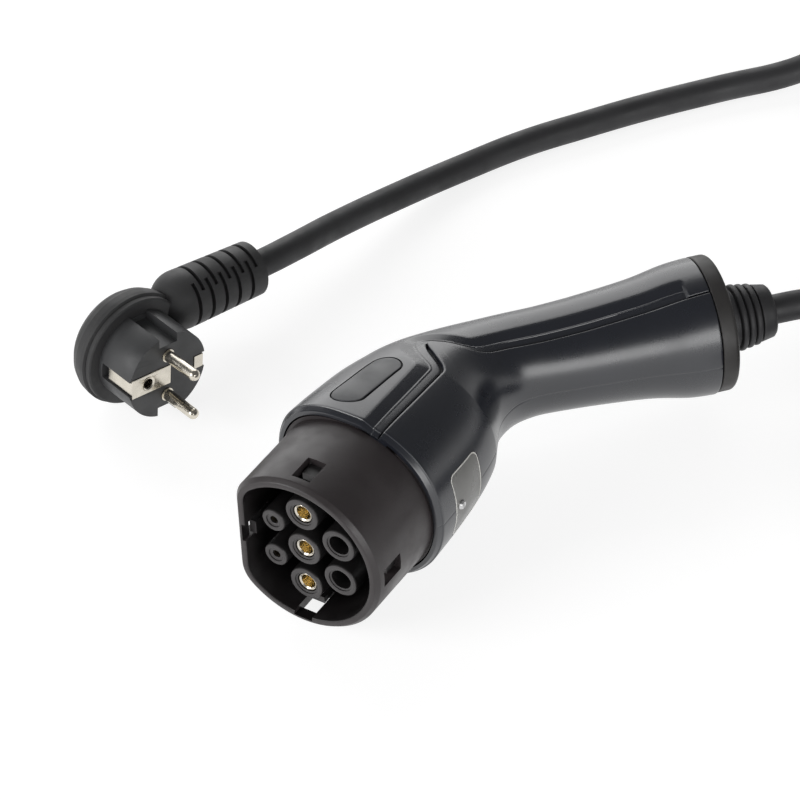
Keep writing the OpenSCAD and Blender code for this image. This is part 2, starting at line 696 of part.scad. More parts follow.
// Insulated cores from the contacts' crimp cups to the end of the jacket
function core_path(at, off) = let (y0 = retainer_y + crimp_len, u0 = y0 - nose_len, n = 11)
    [for (i = [0:n]) let (u = u0 + (core_start - u0) * i / n, c = spine(u), t = turn(u),
        k = min(1, max(0, i - 1) / 3), p = at * (1 - k) + off * k)
        [c[0] + p[0] * cos(t), c[1] - p[0] * sin(t), p[1]]];
module core_earth() {
    color("#7a9a3a") gun() sweep(core_path(earth_at, [-2.3, 2.3]), 1.8, core_sides);
}
module core_line() {
    color("#6b4a36") gun() sweep(core_path(line_at, [2.3, 2.3]), 1.8, core_sides);
}
module core_neutral() {
    color("#3f62a0") gun() sweep(core_path(neutral_at, [2.3, -2.3]), 1.8, core_sides);
}
module core_pilot() {
    color("#b8b4aa") gun() sweep(core_path(pilot_at, [-2.3, -2.3]), 1.1, core_sides);
}

// Lead from the clamp in the handle through the strain relief to the top of the coil
module lead_front() {
    inside = [for (z = [core_start - shell_len, boot_end - 10, boot_end]) let (p = spine(shell_len + z))
        [gun_at[0] + p[0], gun_at[1] + p[1], gun_at[2]]];
    color(rubber_colour) sweep(concat(inside, lead_front_route), cable_d / 2, lead_sides);
}
// Wound store of the lead, drawn as its outer shape
module lead_coil() {
    color(rubber_colour) translate(coil_at) rotate_extrude($fn = 96)
        translate([coil_r - coil_section[0] / 2, 0]) square(coil_section);
}
module coil_tie() {
    color("#1c1c1e") translate(coil_at) rotate([0, 0, -60])
        translate([coil_r, tie_w / 2, coil_section[1] / 2]) rotate([90, 0, 0]) linear_extrude(tie_w)
        difference() {
            square(coil_section + 2 * [tie_t + tie_gap, tie_t], center = true);
            square(coil_section + 2 * [tie_gap, 0], center = true);
        }
}
// Lead from the bottom of the coil to the control box
module lead_rear() {
    tip = box_at + [box_l / 2 + box_boot_len, 0, box_axis_z];
    color(rubber_colour) sweep(concat(lead_rear_route, [tip]), cable_d / 2, lead_sides);
}
// Lead from the mains plug to the control box
function plug_point(p) = let (
    x = p[0] * cos(plug_tilt) + p[1] * sin(plug_tilt), y = -p[2],
    z = -p[0] * sin(plug_tilt) + p[1] * cos(plug_tilt))
    plug_at + [x * cos(plug_yaw) - y * sin(plug_yaw), x * sin(plug_yaw) + y * cos(plug_yaw), z];
module plug_lead() {
    start = [for (out = [0, 6]) plug_point([plug_boot_reach + out, plug_arm_y, plug_arm_z])];
    tip = box_at + [-box_l / 2 - box_boot_len, 0, box_axis_z];
    color(rubber_colour) sweep(concat(start, plug_lead_route, [tip]), cable_d / 2, lead_sides);
}

// Control box: tray, gasket and lid, with screw bosses in its corners
box_split = 0.62 * box_h;
box_boot_len = 40;
box_boot_d = 23;
box_neck_d = 17;
box_flange_t = 2;
boss_d = 9;
boss_at = [for (x = [1, -1], y = [1, -1]) [x * (box_l / 2 - box_wall - boss_d / 2),
    y * (box_w / 2 - box_wall - boss_d / 2)]];
box_screw_d = 2.6;
box_screw_head_d = 5.4;
board_z = box_wall + 8;
board_t = 1.6;
board_end_gap = 17;
board_side_gap = 11;
board_l = box_l - 2 * board_end_gap;
board_w = box_w - 2 * board_side_gap;
post_d = 7;
post_at = [for (x = [1, -1], y = [1, -1]) [x * (board_l / 2 - 6), y * (board_w / 2 - 6)]];
lens_l = 40;
lens_w = 8;
lens_flange = 3;
lens_t = 1.5;
module rounded_rect(l, w, r) {
    square([l - 2 * r, w], center = true);
    square([l, w - 2 * r], center = true);
    for (x = [1, -1], y = [1, -1]) translate([x * (l / 2 - r), y * (w / 2 - r)]) circle(r);
}
module box_prism(z0, z1, inset) {
    translate([0, 0, z0]) linear_extrude(z1 - z0)
        rounded_rect(box_l - 2 * inset, box_w - 2 * inset, box_r - inset);
}
module box_base() {
    color("#2f3134") box() difference() {
        union() {
            difference() {
                box_prism(0, box_split, 0);
                box_prism(box_wall, box_split + 1, box_wall);
            }
            for (p = boss_at) translate([p[0], p[1], box_wall - eps])
                cylinder(box_split - box_wall + eps, d = boss_d);
            for (p = post_at) translate([p[0], p[1], box_wall - eps])
                cylinder(board_z - box_wall + eps, d = post_d);
        }
        for (p = boss_at) translate([p[0], p[1], box_wall + 4]) cylinder(box_split, d = box_screw_d + fit);
        for (x = [-box_l / 2 - 1, box_l / 2 - box_wall - 1]) translate([x, 0, box_axis_z])
            rotate([0, 90, 0]) cylinder(box_wall + 2, d = box_neck_d + fit);
    }
}
module box_gasket() {
    color("#151515") box() difference() {
        box_prism(box_split, box_split + gasket_t, 0.4);
        box_prism(box_split - 1, box_split + gasket_t + 1, box_wall - 0.4);
    }
}
module box_lid() {
    low = box_split + gasket_t;
    color("#33363a") box() difference() {
        union() {
            difference() {
                box_prism(low, box_h, 0);
                box_prism(low - 1, box_h - box_wall, box_wall);
            }
            for (p = boss_at) translate([p[0], p[1], low]) cylinder(box_h - box_wall - low + eps, d = boss_d);
        }
        for (p = boss_at) translate([p[0], p[1], low - 1]) cylinder(box_h, d = box_screw_d + fit);
        for (p = boss_at) translate([p[0], p[1], box_h - 4]) cylinder(5, d = box_screw_head_d + 2 * fit);
        translate([0, 0, box_h - box_wall - 1]) linear_extrude(box_wall + 2)
            rounded_rect(lens_l + 2 * fit, lens_w + 2 * fit, lens_w / 2);
    }
}
// Light guide of the status lamps: flange under the lid, face flush with its top
module indicator_lens() {
    color("#8fb6c4") box() {
        translate([0, 0, box_h - box_wall - lens_t]) linear_extrude(lens_t)
            rounded_rect(lens_l + 2 * lens_flange, lens_w + 2 * lens_flange, lens_w / 2);
        translate([0, 0, box_h - box_wall - eps]) linear_extrude(box_wall + eps)
            rounded_rect(lens_l, lens_w, lens_w / 2 - fit);
    }
}
module box_board() {
    color("#1f5a3a") box() translate([0, 0, board_z]) linear_extrude(board_t)
        square([board_l, board_w], center = true);
}
// Parts that stand on the board
on_board = board_z + board_t;
relay_size = [30, 16, 15];
relay_at = [[-53, -21], [-53, 5]];
sensor_d = 30;
sensor_bore_d = 16;
sensor_h = 12;
supply_size = [32, 30, 16];
supply_at = [23, -15];
module box_relays() {
    color("#c8c6be") box() for (p = relay_at) translate([p[0], p[1], on_board]) cube(relay_size);
}
module box_sensor() {
    color("#26282b") box() translate([0, 0, on_board]) difference() {
        cylinder(sensor_h, d = sensor_d);
        translate([0, 0, -1]) cylinder(sensor_h + 2, d = sensor_bore_d);
    }
}
module box_supply() {
    color("#d0a83a") box() translate([supply_at[0], supply_at[1], on_board]) cube(supply_size);
}
// Four lid screws, driven into the bosses of the tray
module box_screws() {
    head_z = box_h - 4;
    color(nickel_colour) box() for (p = boss_at) translate([p[0], p[1], head_z]) {
        cylinder(2.4, d = box_screw_head_d);
        translate([0, 0, box_wall + 6 - head_z]) cylinder(head_z - box_wall - 6 + eps, d = box_screw_d);
    }
}
// Tapered strain relief of the box, with its neck in the end wall
module box_boot(side) {
    r = box_boot_d / 2;
    tip = cable_d / 2 + 2.2;
    color(rubber_colour) box() translate([side * box_l / 2, 0, box_axis_z]) rotate([0, side * 90, 0])
        rotate_extrude() polygon([[0, -box_wall - box_flange_t], [r, -box_wall - box_flange_t],
            [r, -box_wall], [box_neck_d / 2, -box_wall], [box_neck_d / 2, 0], [r, 0], [r, 5],
            [tip, box_boot_len - 1], [tip - 1, box_boot_len], [0, box_boot_len]]);
}
module outlet_boot() {
    box_boot(1);
}
module inlet_boot() {
    box_boot(-1);
}

// Mains plug, drawn with its face at z = 0, pins along +z and lead along +x
plug_r = plug_d / 2;
plug_seat = 3;
pin_root = 8;
pin_root_d = pin_d + 1;
pin_collar = 0.4;
keyway_w = 9;
keyway_depth = 3;
clip_w = 6;
clip_t = 0.8;
channel_w = clip_w + 1;
clip_channel = 2;
strap_w = 9;
strap_sink = 0.5;
earth_hole_x = -10;
earth_hole_d = 5;
module plug_insert() {
    color("#3a3a3c") plug() difference() {
        union() {
            translate([0, 0, -plug_depth]) cylinder(plug_depth, r = plug_r, $fn = 96);
            translate([0, 0, -plug_depth - plug_seat]) cylinder(plug_seat + eps, r = plug_r - 2);
        }
        for (s = [1, -1]) {
            translate([0, s * pin_pitch / 2, -pin_root]) cylinder(pin_root + 1, d = pin_root_d + fit);
            translate([-keyway_w / 2, s * (plug_r - keyway_depth / 2) - keyway_depth, -plug_depth - eps])
                cube([keyway_w, 2 * keyway_depth, plug_depth + 1]);
            translate([s * (plug_r - clip_channel / 2) - clip_channel / 2, -channel_w / 2, -plug_depth + 2])
                cube([clip_channel + 1, channel_w, plug_depth]);
        }
        translate([earth_hole_x, 0, -16]) cylinder(17, d = earth_hole_d);
        translate([-plug_r - 1, -strap_w / 2 - fit, -strap_sink]) cube([plug_r + 3, strap_w + 2 * fit, 2]);
        translate([plug_r - 6, -clip_w / 2 - fit, -strap_sink]) cube([7, clip_w + 2 * fit, 2]);
    }
}
// Pin with a rounded tip and a thicker root in a blind hole of the insert
module plug_pin(side) {
    color(nickel_colour) plug() translate([0, side * pin_pitch / 2, 0]) {
        translate([0, 0, -pin_root]) cylinder(pin_root + pin_collar, d = pin_root_d);
        cylinder(pin_len - pin_d / 2, d = pin_d);
        translate([0, 0, pin_len - pin_d / 2]) sphere(d = pin_d);
    }
}
module plug_pin_line() {
    plug_pin(1);
}
module plug_pin_neutral() {
    plug_pin(-1);
}
// Earth contact: strap with the socket hole on the face, and a spring strip in each side channel
module plug_earth_clip() {
    strip_x = plug_r - clip_channel + clip_t;
    strip_len = plug_depth - 5;
    color(nickel_colour) plug() {
        difference() {
            union() {
                translate([-strip_x, -strap_w / 2, -strap_sink]) cube([strip_x + 1.5, strap_w, clip_t]);
                translate([-strip_x, -clip_w / 2, -strip_len]) cube([clip_t, clip_w, strip_len]);
            }
            translate([earth_hole_x, 0, -2]) cylinder(4, d = earth_hole_d);
        }
        translate([plug_r - 5.6, -clip_w / 2, -strap_sink]) cube([strip_x - plug_r + 5.6, clip_w, clip_t]);
        translate([strip_x - clip_t, -clip_w / 2, -strip_len]) cube([clip_t, clip_w, strip_len]);
    }
}
// Soft back of the plug: dome with a rim, arm and slotted strain relief
dome_rim = 5;
rim_band = 2.4;
arm_at = 27;
arm_neck_r = 6;
slot_pitch = 7;
slot_count = 5;
slot_w = 1.8;
slot_depth = 2.4;
module plug_overmould() {
    r = dome_d / 2;
    back = -plug_depth - dome_depth;
    crown = dome_depth - dome_rim;
    boot_r = plug_boot_d / 2;
    color(rubber_colour) plug() difference() {
        union() {
            rotate_extrude($fn = 96) polygon(concat(
                [[0, -plug_depth], [r - 1.6, -plug_depth], [r - 1, -plug_depth - 0.4],
                    [r - 1, -plug_depth - rim_band], [r - 1.4, -plug_depth - rim_band - 0.3],
                    [r, -plug_depth - rim_band - 0.8]],
                [for (a = [0:15:90]) [(r - crown) + crown * cos(a), -plug_depth - dome_rim - crown * sin(a)]],
                [[0, back]]));
            translate([0, plug_arm_y, plug_arm_z]) rotate([0, 90, 0]) {
                cylinder(arm_at, r = arm_neck_r);
                translate([0, 0, arm_at]) sphere(boot_r, $fn = 72);
                translate([0, 0, arm_at]) cylinder(plug_boot_reach - arm_at, r1 = boot_r, r2 = boot_r - 0.8);
            }
        }
        translate([0, 0, -plug_depth - plug_seat]) cylinder(plug_seat + 1, r = plug_r - 2 + fit);
        translate([0, 0, -plug_depth]) cylinder(plug_depth, r = plug_r + fit, $fn = 96);
        translate([0, plug_arm_y, plug_arm_z]) rotate([0, 90, 0]) for (k = [0:slot_count - 1], half = [0, 1])
            translate([0, 0, arm_at + slot_pitch * (k + half / 2)])
                rotate([0, 0, 180 * half + 120]) rotate_extrude(angle = 200)
                translate([boot_r - slot_depth, 0]) square([slot_depth + 1, slot_w]);
    }
}

nose_shroud();
contact_carrier();
contact_earth();
contact_line();
contact_neutral();
contact_pilot();
contact_proximity();
contact_retainer();
retainer_screws();
front_bezel();
saddle_cover();
upper_shell();
lower_shell();
badge_plate();
rating_plate();
plate_screw();
rear_cap();
rear_boot();
cable_clamp();
clamp_screws();
coding_board();
core_earth();
core_line();
core_neutral();
core_pilot();
lead_front();
lead_coil();
coil_tie();
lead_rear();
plug_lead();
box_base();
box_lid();
box_gasket();
box_board();
box_relays();
box_sensor();
box_supply();
indicator_lens();
box_screws();
outlet_boot();
inlet_boot();
plug_insert();
plug_overmould();
plug_pin_line();
plug_pin_neutral();
plug_earth_clip();
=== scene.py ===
"""Looks of a portable charger for electric vehicles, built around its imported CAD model."""
import json
import math

import bmesh
import bpy
import numpy as np
from mathutils import Matrix, Vector


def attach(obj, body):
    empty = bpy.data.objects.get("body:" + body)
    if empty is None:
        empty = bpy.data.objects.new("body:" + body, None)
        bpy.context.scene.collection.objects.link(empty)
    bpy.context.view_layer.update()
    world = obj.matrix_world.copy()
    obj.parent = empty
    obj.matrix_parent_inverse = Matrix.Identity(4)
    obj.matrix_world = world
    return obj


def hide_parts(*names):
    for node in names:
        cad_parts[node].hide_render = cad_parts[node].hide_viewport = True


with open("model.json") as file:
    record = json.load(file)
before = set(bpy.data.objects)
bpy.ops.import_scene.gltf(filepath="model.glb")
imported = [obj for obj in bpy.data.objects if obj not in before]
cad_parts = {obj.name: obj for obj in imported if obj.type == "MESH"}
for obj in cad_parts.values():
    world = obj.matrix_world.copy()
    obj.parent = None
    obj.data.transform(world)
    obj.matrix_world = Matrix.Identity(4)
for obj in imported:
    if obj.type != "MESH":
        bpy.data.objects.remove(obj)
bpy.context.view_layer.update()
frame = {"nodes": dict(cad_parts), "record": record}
nodes = frame["nodes"]
scene = bpy.context.scene
MM = 0.001

# Place of the connector's mating face in the row frame, in millimetres
GUN = np.array((-29.1683, -109.84, 38.6452))


# Camera at the photograph's viewing angle
def make_camera():
    elevation, azimuth, roll = math.radians(40.85), math.radians(33.6), math.radians(-2.8)
    pixel_scale, focal_px, image = 2.67, 4000.0, 800.0
    nose_px = (298.7, 555.27)
    back = Vector((math.sin(azimuth) * math.cos(elevation),
                   -math.cos(azimuth) * math.cos(elevation), math.sin(elevation)))
    right = Vector((math.cos(azimuth), math.sin(azimuth), 0))
    up = back.cross(right)
    x_axis = right * math.cos(roll) + up * math.sin(roll)
    y_axis = up * math.cos(roll) - right * math.sin(roll)
    nose = Vector(((nose_px[0] - image / 2) / pixel_scale,
                   -(nose_px[1] - image / 2) / pixel_scale, -focal_px / pixel_scale))
    place = Vector(GUN) - (x_axis * nose.x + y_axis * nose.y + back * nose.z)
    data = bpy.data.cameras.new("camera")
    data.sensor_width = 36
    data.lens = data.sensor_width * focal_px / image
    data.clip_start, data.clip_end = 0.01, 50
    cam = bpy.data.objects.new("camera", data)
    m = Matrix((x_axis, y_axis, back)).transposed().to_4x4()
    m.translation = place * MM
    cam.matrix_world = m
    scene.collection.objects.link(cam)
    scene.camera = cam


make_camera()


# Materials
def node_material(name):
    mat = bpy.data.materials.new(name)
    mat.use_nodes = True
    tree = mat.node_tree
    return mat, tree, tree.nodes["Principled BSDF"]


def noise(tree, scale, detail=3.0, rough=0.55):
    coord = tree.nodes.new("ShaderNodeTexCoord")
    tex = tree.nodes.new("ShaderNodeTexNoise")
    tex.inputs["Scale"].default_value = scale
    tex.inputs["Detail"].default_value = detail
    tex.inputs["Roughness"].default_value = rough
    tree.links.new(coord.outputs["Object"], tex.inputs["Vector"])
    return tex.outputs["Fac"]


def ramp(tree, value, low, high, start=0.35, end=0.65):
    node = tree.nodes.new("ShaderNodeMapRange")
    node.inputs["From Min"].default_value = start
    node.inputs["From Max"].default_value = end
    node.inputs["To Min"].default_value = low
    node.inputs["To Max"].default_value = high
    tree.links.new(value, node.inputs["Value"])
    return node.outputs["Result"]


def tint(tree, value, low, high):
    node = tree.nodes.new("ShaderNodeMix")
    node.data_type = "RGBA"
    node.inputs["A"].default_value = (*low, 1)
    node.inputs["B"].default_value = (*high, 1)
    tree.links.new(value, node.inputs["Factor"])
    return node.outputs["Result"]


def bump(tree, shader, value, distance):
    node = tree.nodes.new("ShaderNodeBump")
    node.inputs["Strength"].default_value = 1.0
    node.inputs["Distance"].default_value = distance
    tree.links.new(value, node.inputs["Height"])
    tree.links.new(node.outputs["Normal"], shader.inputs["Normal"])


# Noise scales, per metre: patches of colour and patches of gloss
PLASTIC_PATCHES, PLASTIC_GLOSS = 38.0, 90.0
METAL_PATCHES, METAL_GLOSS = 160.0, 420.0


def moulded(name, colour, roughness, grain=2600.0, depth=0.02, vary=0.12, level=0.5, spread=0.08):
    """Moulded plastic or rubber: fine grain, slow changes of colour and of gloss."""
    mat, tree, shader = node_material(name)
    patches = ramp(tree, noise(tree, PLASTIC_PATCHES, 4.0), 0.0, 1.0)
    low = tuple(c * (1 - vary) for c in colour)
    high = tuple(c * (1 + vary) for c in colour)
    tree.links.new(tint(tree, patches, low, high), shader.inputs["Base Color"])
    tree.links.new(ramp(tree, noise(tree, PLASTIC_GLOSS), roughness - spread, roughness + spread),
                   shader.inputs["Roughness"])
    bump(tree, shader, noise(tree, grain, 2.0, 0.6), depth * MM)
    shader.inputs["Specular IOR Level"].default_value = level
    return mat


def metal(name, colour, roughness, grain=900.0, depth=0.004, vary=0.08):
    """Plated or turned metal with faint marks."""
    mat, tree, shader = node_material(name)
    patches = ramp(tree, noise(tree, METAL_PATCHES, 5.0), 0.0, 1.0)
    low = tuple(c * (1 - vary) for c in colour)
    high = tuple(min(1.0, c * (1 + vary)) for c in colour)
    tree.links.new(tint(tree, patches, low, high), shader.inputs["Base Color"])
    tree.links.new(ramp(tree, noise(tree, METAL_GLOSS, 4.0), roughness * 0.75, roughness * 1.3),
                   shader.inputs["Roughness"])
    bump(tree, shader, noise(tree, grain), depth * MM)
    shader.inputs["Metallic"].default_value = 1.0
    return mat


def vector_math(tree, operation, first, second):
    node = tree.nodes.new("ShaderNodeVectorMath")
    node.operation = operation
    for socket, value in zip(node.inputs, (first, second)):
        if isinstance(value, tuple):
            socket.default_value = value
        else:
            tree.links.new(value, socket)
    return node.outputs["Value" if operation == "DOT_PRODUCT" else "Vector"]


def paint_shade(mat, share, start, end, axis=None):
    """Paints shade into the base colour: darkens faces that look towards the axis of the nose or, without an
    axis, that don't face the front.
    """
    tree = mat.node_tree
    base = tree.nodes["Principled BSDF"].inputs["Base Color"]
    geometry = tree.nodes.new("ShaderNodeNewGeometry")
    facing = (0.0, -1.0, 0.0)
    if axis is not None:
        away = vector_math(tree, "SUBTRACT", geometry.outputs["Position"], axis)
        facing = vector_math(tree, "MULTIPLY", away, (1.0, 0.0, 1.0))
    value = vector_math(tree, "DOT_PRODUCT", geometry.outputs["Normal"], facing)
    scale = tree.nodes.new("ShaderNodeVectorMath")
    scale.operation = "SCALE"
    tree.links.new(base.links[0].from_socket, scale.inputs["Vector"])
    tree.links.new(ramp(tree, value, share, 1.0, start, end), scale.inputs["Scale"])
    tree.links.new(scale.outputs["Vector"], base)


# Colour, roughness, scale of the grain, its depth in millimetres, change of colour, specular level and
# change of gloss; what a row leaves out takes the usual value
PLASTICS = {
    "shell_plastic": ((0.0085, 0.0105, 0.017), 0.28, 2400.0, 0.012, 0.08, 1.0, 0.012),
    "nose_plastic": ((0.034, 0.0285, 0.0295), 0.42, 2200.0, 0.015, 0.1),
    # The sleeves' plastic is a lighter copy of the nose plastic: painted light on their front faces, with
    # painted shade on their walls
    "sleeve_lit_and_shaded_plastic": ((0.048, 0.044, 0.045), 0.42, 2200.0, 0.015, 0.1),
    # The carrier base's plastic is a darker copy of the nose plastic: painted shade at the back of the nose
    "base_plastic_painted_shade": ((0.009, 0.0085, 0.0085), 0.5, 2200.0, 0.015, 0.1),
    "cap_plastic": ((0.028, 0.026, 0.025), 0.50, 2200.0, 0.02),
    "lead_rubber": ((0.030, 0.030, 0.032), 0.55, 1800.0, 0.03),
    "plug_rubber": ((0.032, 0.032, 0.033), 0.58, 1700.0, 0.05),
    "plug_plastic": ((0.052, 0.053, 0.055), 0.45, 2200.0, 0.015),
    "badge_plastic": ((0.022, 0.024, 0.028), 0.40, 2600.0, 0.01),
    "rating_foil": ((0.11, 0.108, 0.10), 0.30, 2600.0, 0.006, 0.12, 1.0),
    "rating_line": ((0.75, 0.74, 0.70), 0.40, 2600.0, 0.004),
    "box_plastic": ((0.026, 0.028, 0.031), 0.48, 2000.0, 0.02, 0.06, 0.5, 0.02),
    "tie_fabric": ((0.012, 0.012, 0.013), 0.85, 3000.0, 0.06),
    "insulator": ((0.55, 0.53, 0.47), 0.5),
    "board_green": ((0.015, 0.10, 0.05), 0.4),
    "supply_yellow": ((0.55, 0.38, 0.05), 0.5),
    "core_green": ((0.20, 0.33, 0.04), 0.4),
    "core_brown": ((0.16, 0.07, 0.04), 0.4),
    "core_blue": ((0.05, 0.13, 0.36), 0.4),
    "core_grey": ((0.45, 0.43, 0.38), 0.4),
    "lens_clear": ((0.40, 0.52, 0.56), 0.3),
}
# Colour, roughness, scale of the marks, their depth in millimetres and change of colour
METALS = {
    "contact_brass": ((0.80, 0.71, 0.50), 0.20, 900.0, 0.002, 0.04),
    # A dark copy of the contact metal: painted shade for the signal contacts deep in their sleeves
    "contact_painted_shade": ((0.10, 0.085, 0.06), 0.45),
    "pin_nickel": ((0.66, 0.62, 0.54), 0.22),
    "screw_steel": ((0.60, 0.60, 0.60), 0.30),
    "clamp_metal": ((0.50, 0.51, 0.52), 0.35),
}
M = {name: moulded(name, *look) for name, look in PLASTICS.items()}
M.update((name, metal(name, *look)) for name, look in METALS.items())
# Painted shade: the inside walls of the nose are darkened in their base colour
paint_shade(M["nose_plastic"], share=0.25, start=-0.020, end=-0.006, axis=tuple(GUN * MM))
# Painted shade on the sleeves' walls; their front faces keep the full colour
paint_shade(M["sleeve_lit_and_shaded_plastic"], share=0.2, start=0.3, end=0.8)
for part in frame["record"]["subparts"]:
    obj = nodes[part["node"]]
    obj.data.materials.clear()
    obj.data.materials.append(M[part["material_slot"]])
# The small signal contacts lie deep in their sleeves: they take a dark copy of the contact metal, painted
# shade
for node_name in ("contact_pilot", "contact_proximity"):
    nodes[node_name].data.materials[0] = M["contact_painted_shade"]


# Small rounds on the edges of the CAD nodes that stay in view
EDGE_ROUNDS = {"plug_insert": 0.4, "rear_cap": 0.4, "rear_boot": 0.4,
               "contact_earth": 0.25, "contact_line": 0.25, "contact_neutral": 0.25, "contact_pilot": 0.15,
               "contact_proximity": 0.15, "plug_earth_clip": 0.12, "box_base": 1.4, "box_lid": 1.8}
FLAT_SIDED = ("box_base", "box_lid")
WELD_REACH, EDGE_SEGMENTS = 1e-6, 3
EDGE_ANGLE, FLAT_ANGLE = math.radians(40), math.radians(0.5)


def round_edges(obj, width):
    """Rounds the sharp edges; on a flat-sided node the faces are joined first and stay flat in shading."""
    weld = obj.modifiers.new("weld", "WELD")
    weld.merge_threshold = WELD_REACH
    flat = obj.name in FLAT_SIDED
    if flat:
        join = obj.modifiers.new("join", "DECIMATE")
        join.decimate_type, join.angle_limit = "DISSOLVE", FLAT_ANGLE
    mod = obj.modifiers.new("round", "BEVEL")
    mod.width, mod.segments = width * MM, EDGE_SEGMENTS
    mod.limit_method, mod.angle_limit = "ANGLE", EDGE_ANGLE
    mod.use_clamp_overlap = True
    if flat:
        obj.data.polygons.foreach_set("use_smooth", [True] * len(obj.data.polygons))
        level = obj.modifiers.new("level", "WEIGHTED_NORMAL")
        level.weight, level.keep_sharp = 100, False


for node_name, width in EDGE_ROUNDS.items():
    round_edges(nodes[node_name], width)


# Skin of the connector, with the sizes and rows of part.scad
NOSE_LEN, BODY_LEN, BEND_R, GRIP_LEN = 38.5, 48.0, 80.0, 69.0
HANDLE_ANGLE = math.radians(42.0)
BEND_LEN = BEND_R * HANDLE_ANGLE
GRIP_AT = BODY_LEN + BEND_LEN
SHELL_LEN = GRIP_AT + GRIP_LEN
COLLAR_R, COLLAR_FLAT = 38.8, 35.3
GRIP_A, GRIP_B, FLARE_R = 21.0, 20.6, 27.6
INNER_SQUARE = 2.1
SHELL_WALL, SKIN_GAP = 3.0, 0.35
BODY_ROWS = np.array([
    (0, COLLAR_FLAT, COLLAR_R, COLLAR_R, 2.7),
    (0.21 * BODY_LEN, COLLAR_FLAT + 0.1, COLLAR_R - 0.2, COLLAR_R - 0.6, 2.6),
    (0.42 * BODY_LEN, COLLAR_FLAT - 0.1, COLLAR_R - 0.4, COLLAR_R - 2, 2.5),
    (0.71 * BODY_LEN, COLLAR_FLAT - 0.5, COLLAR_R - 1.4, COLLAR_R - 4, 2.4),
    (0.96 * BODY_LEN, COLLAR_FLAT - 2.3, COLLAR_R - 3.2, COLLAR_R - 6.2, 2.3),
    (BODY_LEN + 0.17 * BEND_LEN, COLLAR_FLAT - 5.3, COLLAR_R - 7.2, COLLAR_R - 9.2, 2.25),
    (BODY_LEN + 0.41 * BEND_LEN, GRIP_A + 4.5, GRIP_A + 4, GRIP_B + 4.8, 2.2),
    (BODY_LEN + 0.69 * BEND_LEN, GRIP_A + 1, GRIP_A - 0.4, GRIP_B + 1.2, 2.15),
    (BODY_LEN + 0.96 * BEND_LEN, GRIP_A, GRIP_A - 0.4, GRIP_B, 2.1),
    (GRIP_AT + 0.25 * GRIP_LEN, GRIP_A + 1, GRIP_A + 1, GRIP_B + 0.6, 2.1),
    (GRIP_AT + 0.54 * GRIP_LEN, GRIP_A + 2.6, GRIP_A + 2.6, GRIP_B + 2.2, 2.1),
    (GRIP_AT + 0.71 * GRIP_LEN, FLARE_R - 2.6, FLARE_R - 2.6, FLARE_R - 3.2, 2.05),
    (GRIP_AT + 0.83 * GRIP_LEN, FLARE_R - 0.4, FLARE_R - 0.4, FLARE_R - 0.6, 2.0),
    (SHELL_LEN, FLARE_R, FLARE_R, FLARE_R, 2.0)])
OUTER, INNER, HEIGHT, SQUARE = 1, 2, 3, 4
# Corners of the parting line: place, angle, and how softly the line turns there
PARTING = np.array([
    (0, 110, 2.0),
    (BODY_LEN + 4, 108, 2.2),
    (BODY_LEN + 15, 77, 0.7),
    (BODY_LEN + 29, 114, 4.5),
    (GRIP_AT - 5, 119, 5.0),
    (GRIP_AT + 0.25 * GRIP_LEN, 117, 5.0),
    (GRIP_AT + 0.56 * GRIP_LEN, 114, 5.0),
    (SHELL_LEN, 112, 5.0)])
LANE_W, LANE_DEPTH, SLOPE_W, PARTING_GAP = 3.3, 1.6, 4.6, 0.6
LIP_LEN, LIP_DEPTH = 2.2, 0.5
ROW_SOFT, WIDTH_SOFT = 5.0, 1.5
SOFT_STEPS = np.linspace(-2.0, 2.0, 25)


def softened(u, places, values, width):
    """Value at u of a line with corners, each corner rounded over about the given width."""
    weight = np.exp(-0.5 * SOFT_STEPS ** 2)
    x = np.asarray(u, float)[..., None] + SOFT_STEPS * np.asarray(width, float)[..., None]
    held = np.clip(x, places[0], places[-1])
    value = np.interp(held, places, values)
    back = np.interp(2 * held - x, places, values)
    return (np.where(x == held, value, 2 * value - back) @ weight) / weight.sum()


def row(u, k):
    return softened(u, BODY_ROWS[:, 0], BODY_ROWS[:, k], ROW_SOFT)


def parting_angle(u):
    return softened(u, PARTING[:, 0], PARTING[:, 1], np.interp(u, PARTING[:, 0], PARTING[:, 2]))


def spine(u):
    """Point and heading of the body's middle line."""
    turn = np.clip((u - BODY_LEN) / BEND_R, 0, HANDLE_ANGLE)
    ahead = np.minimum(u, BODY_LEN)
    behind = np.maximum(u - GRIP_AT, 0)
    x = BEND_R * (1 - np.cos(turn)) + behind * math.sin(HANDLE_ANGLE)
    y = NOSE_LEN + ahead + BEND_R * np.sin(turn) + behind * math.cos(HANDLE_ANGLE)
    return x, y, turn


def skin(u, v, raised=0.0):
    """Point of the skin at place u and angle v in degrees, raised, in the row frame in millimetres."""
    u, v, raised = np.broadcast_arrays(*(np.asarray(value, float) for value in (u, v, raised)))
    x, y, turn = spine(u)
    c, s = np.cos(np.radians(v)), np.sin(np.radians(v))
    outer = c > 0
    reach = np.where(outer, row(u, OUTER), row(u, INNER)) + raised
    power = 2 / np.where(outer, row(u, SQUARE), INNER_SQUARE)
    across = reach * np.sign(c) * np.abs(c) ** power
    z = (row(u, HEIGHT) + raised) * np.sign(s) * np.abs(s) ** power
    return np.stack((x - across * np.cos(turn), y + across * np.sin(turn), z), -1) + GUN


def arc(u, length):
    """Angle that a length takes round the skin near the top."""
    return np.degrees(length / row(u, HEIGHT))


# Edges that turn by more than this stay sharp in the shading
SHARP = math.radians(32.0)


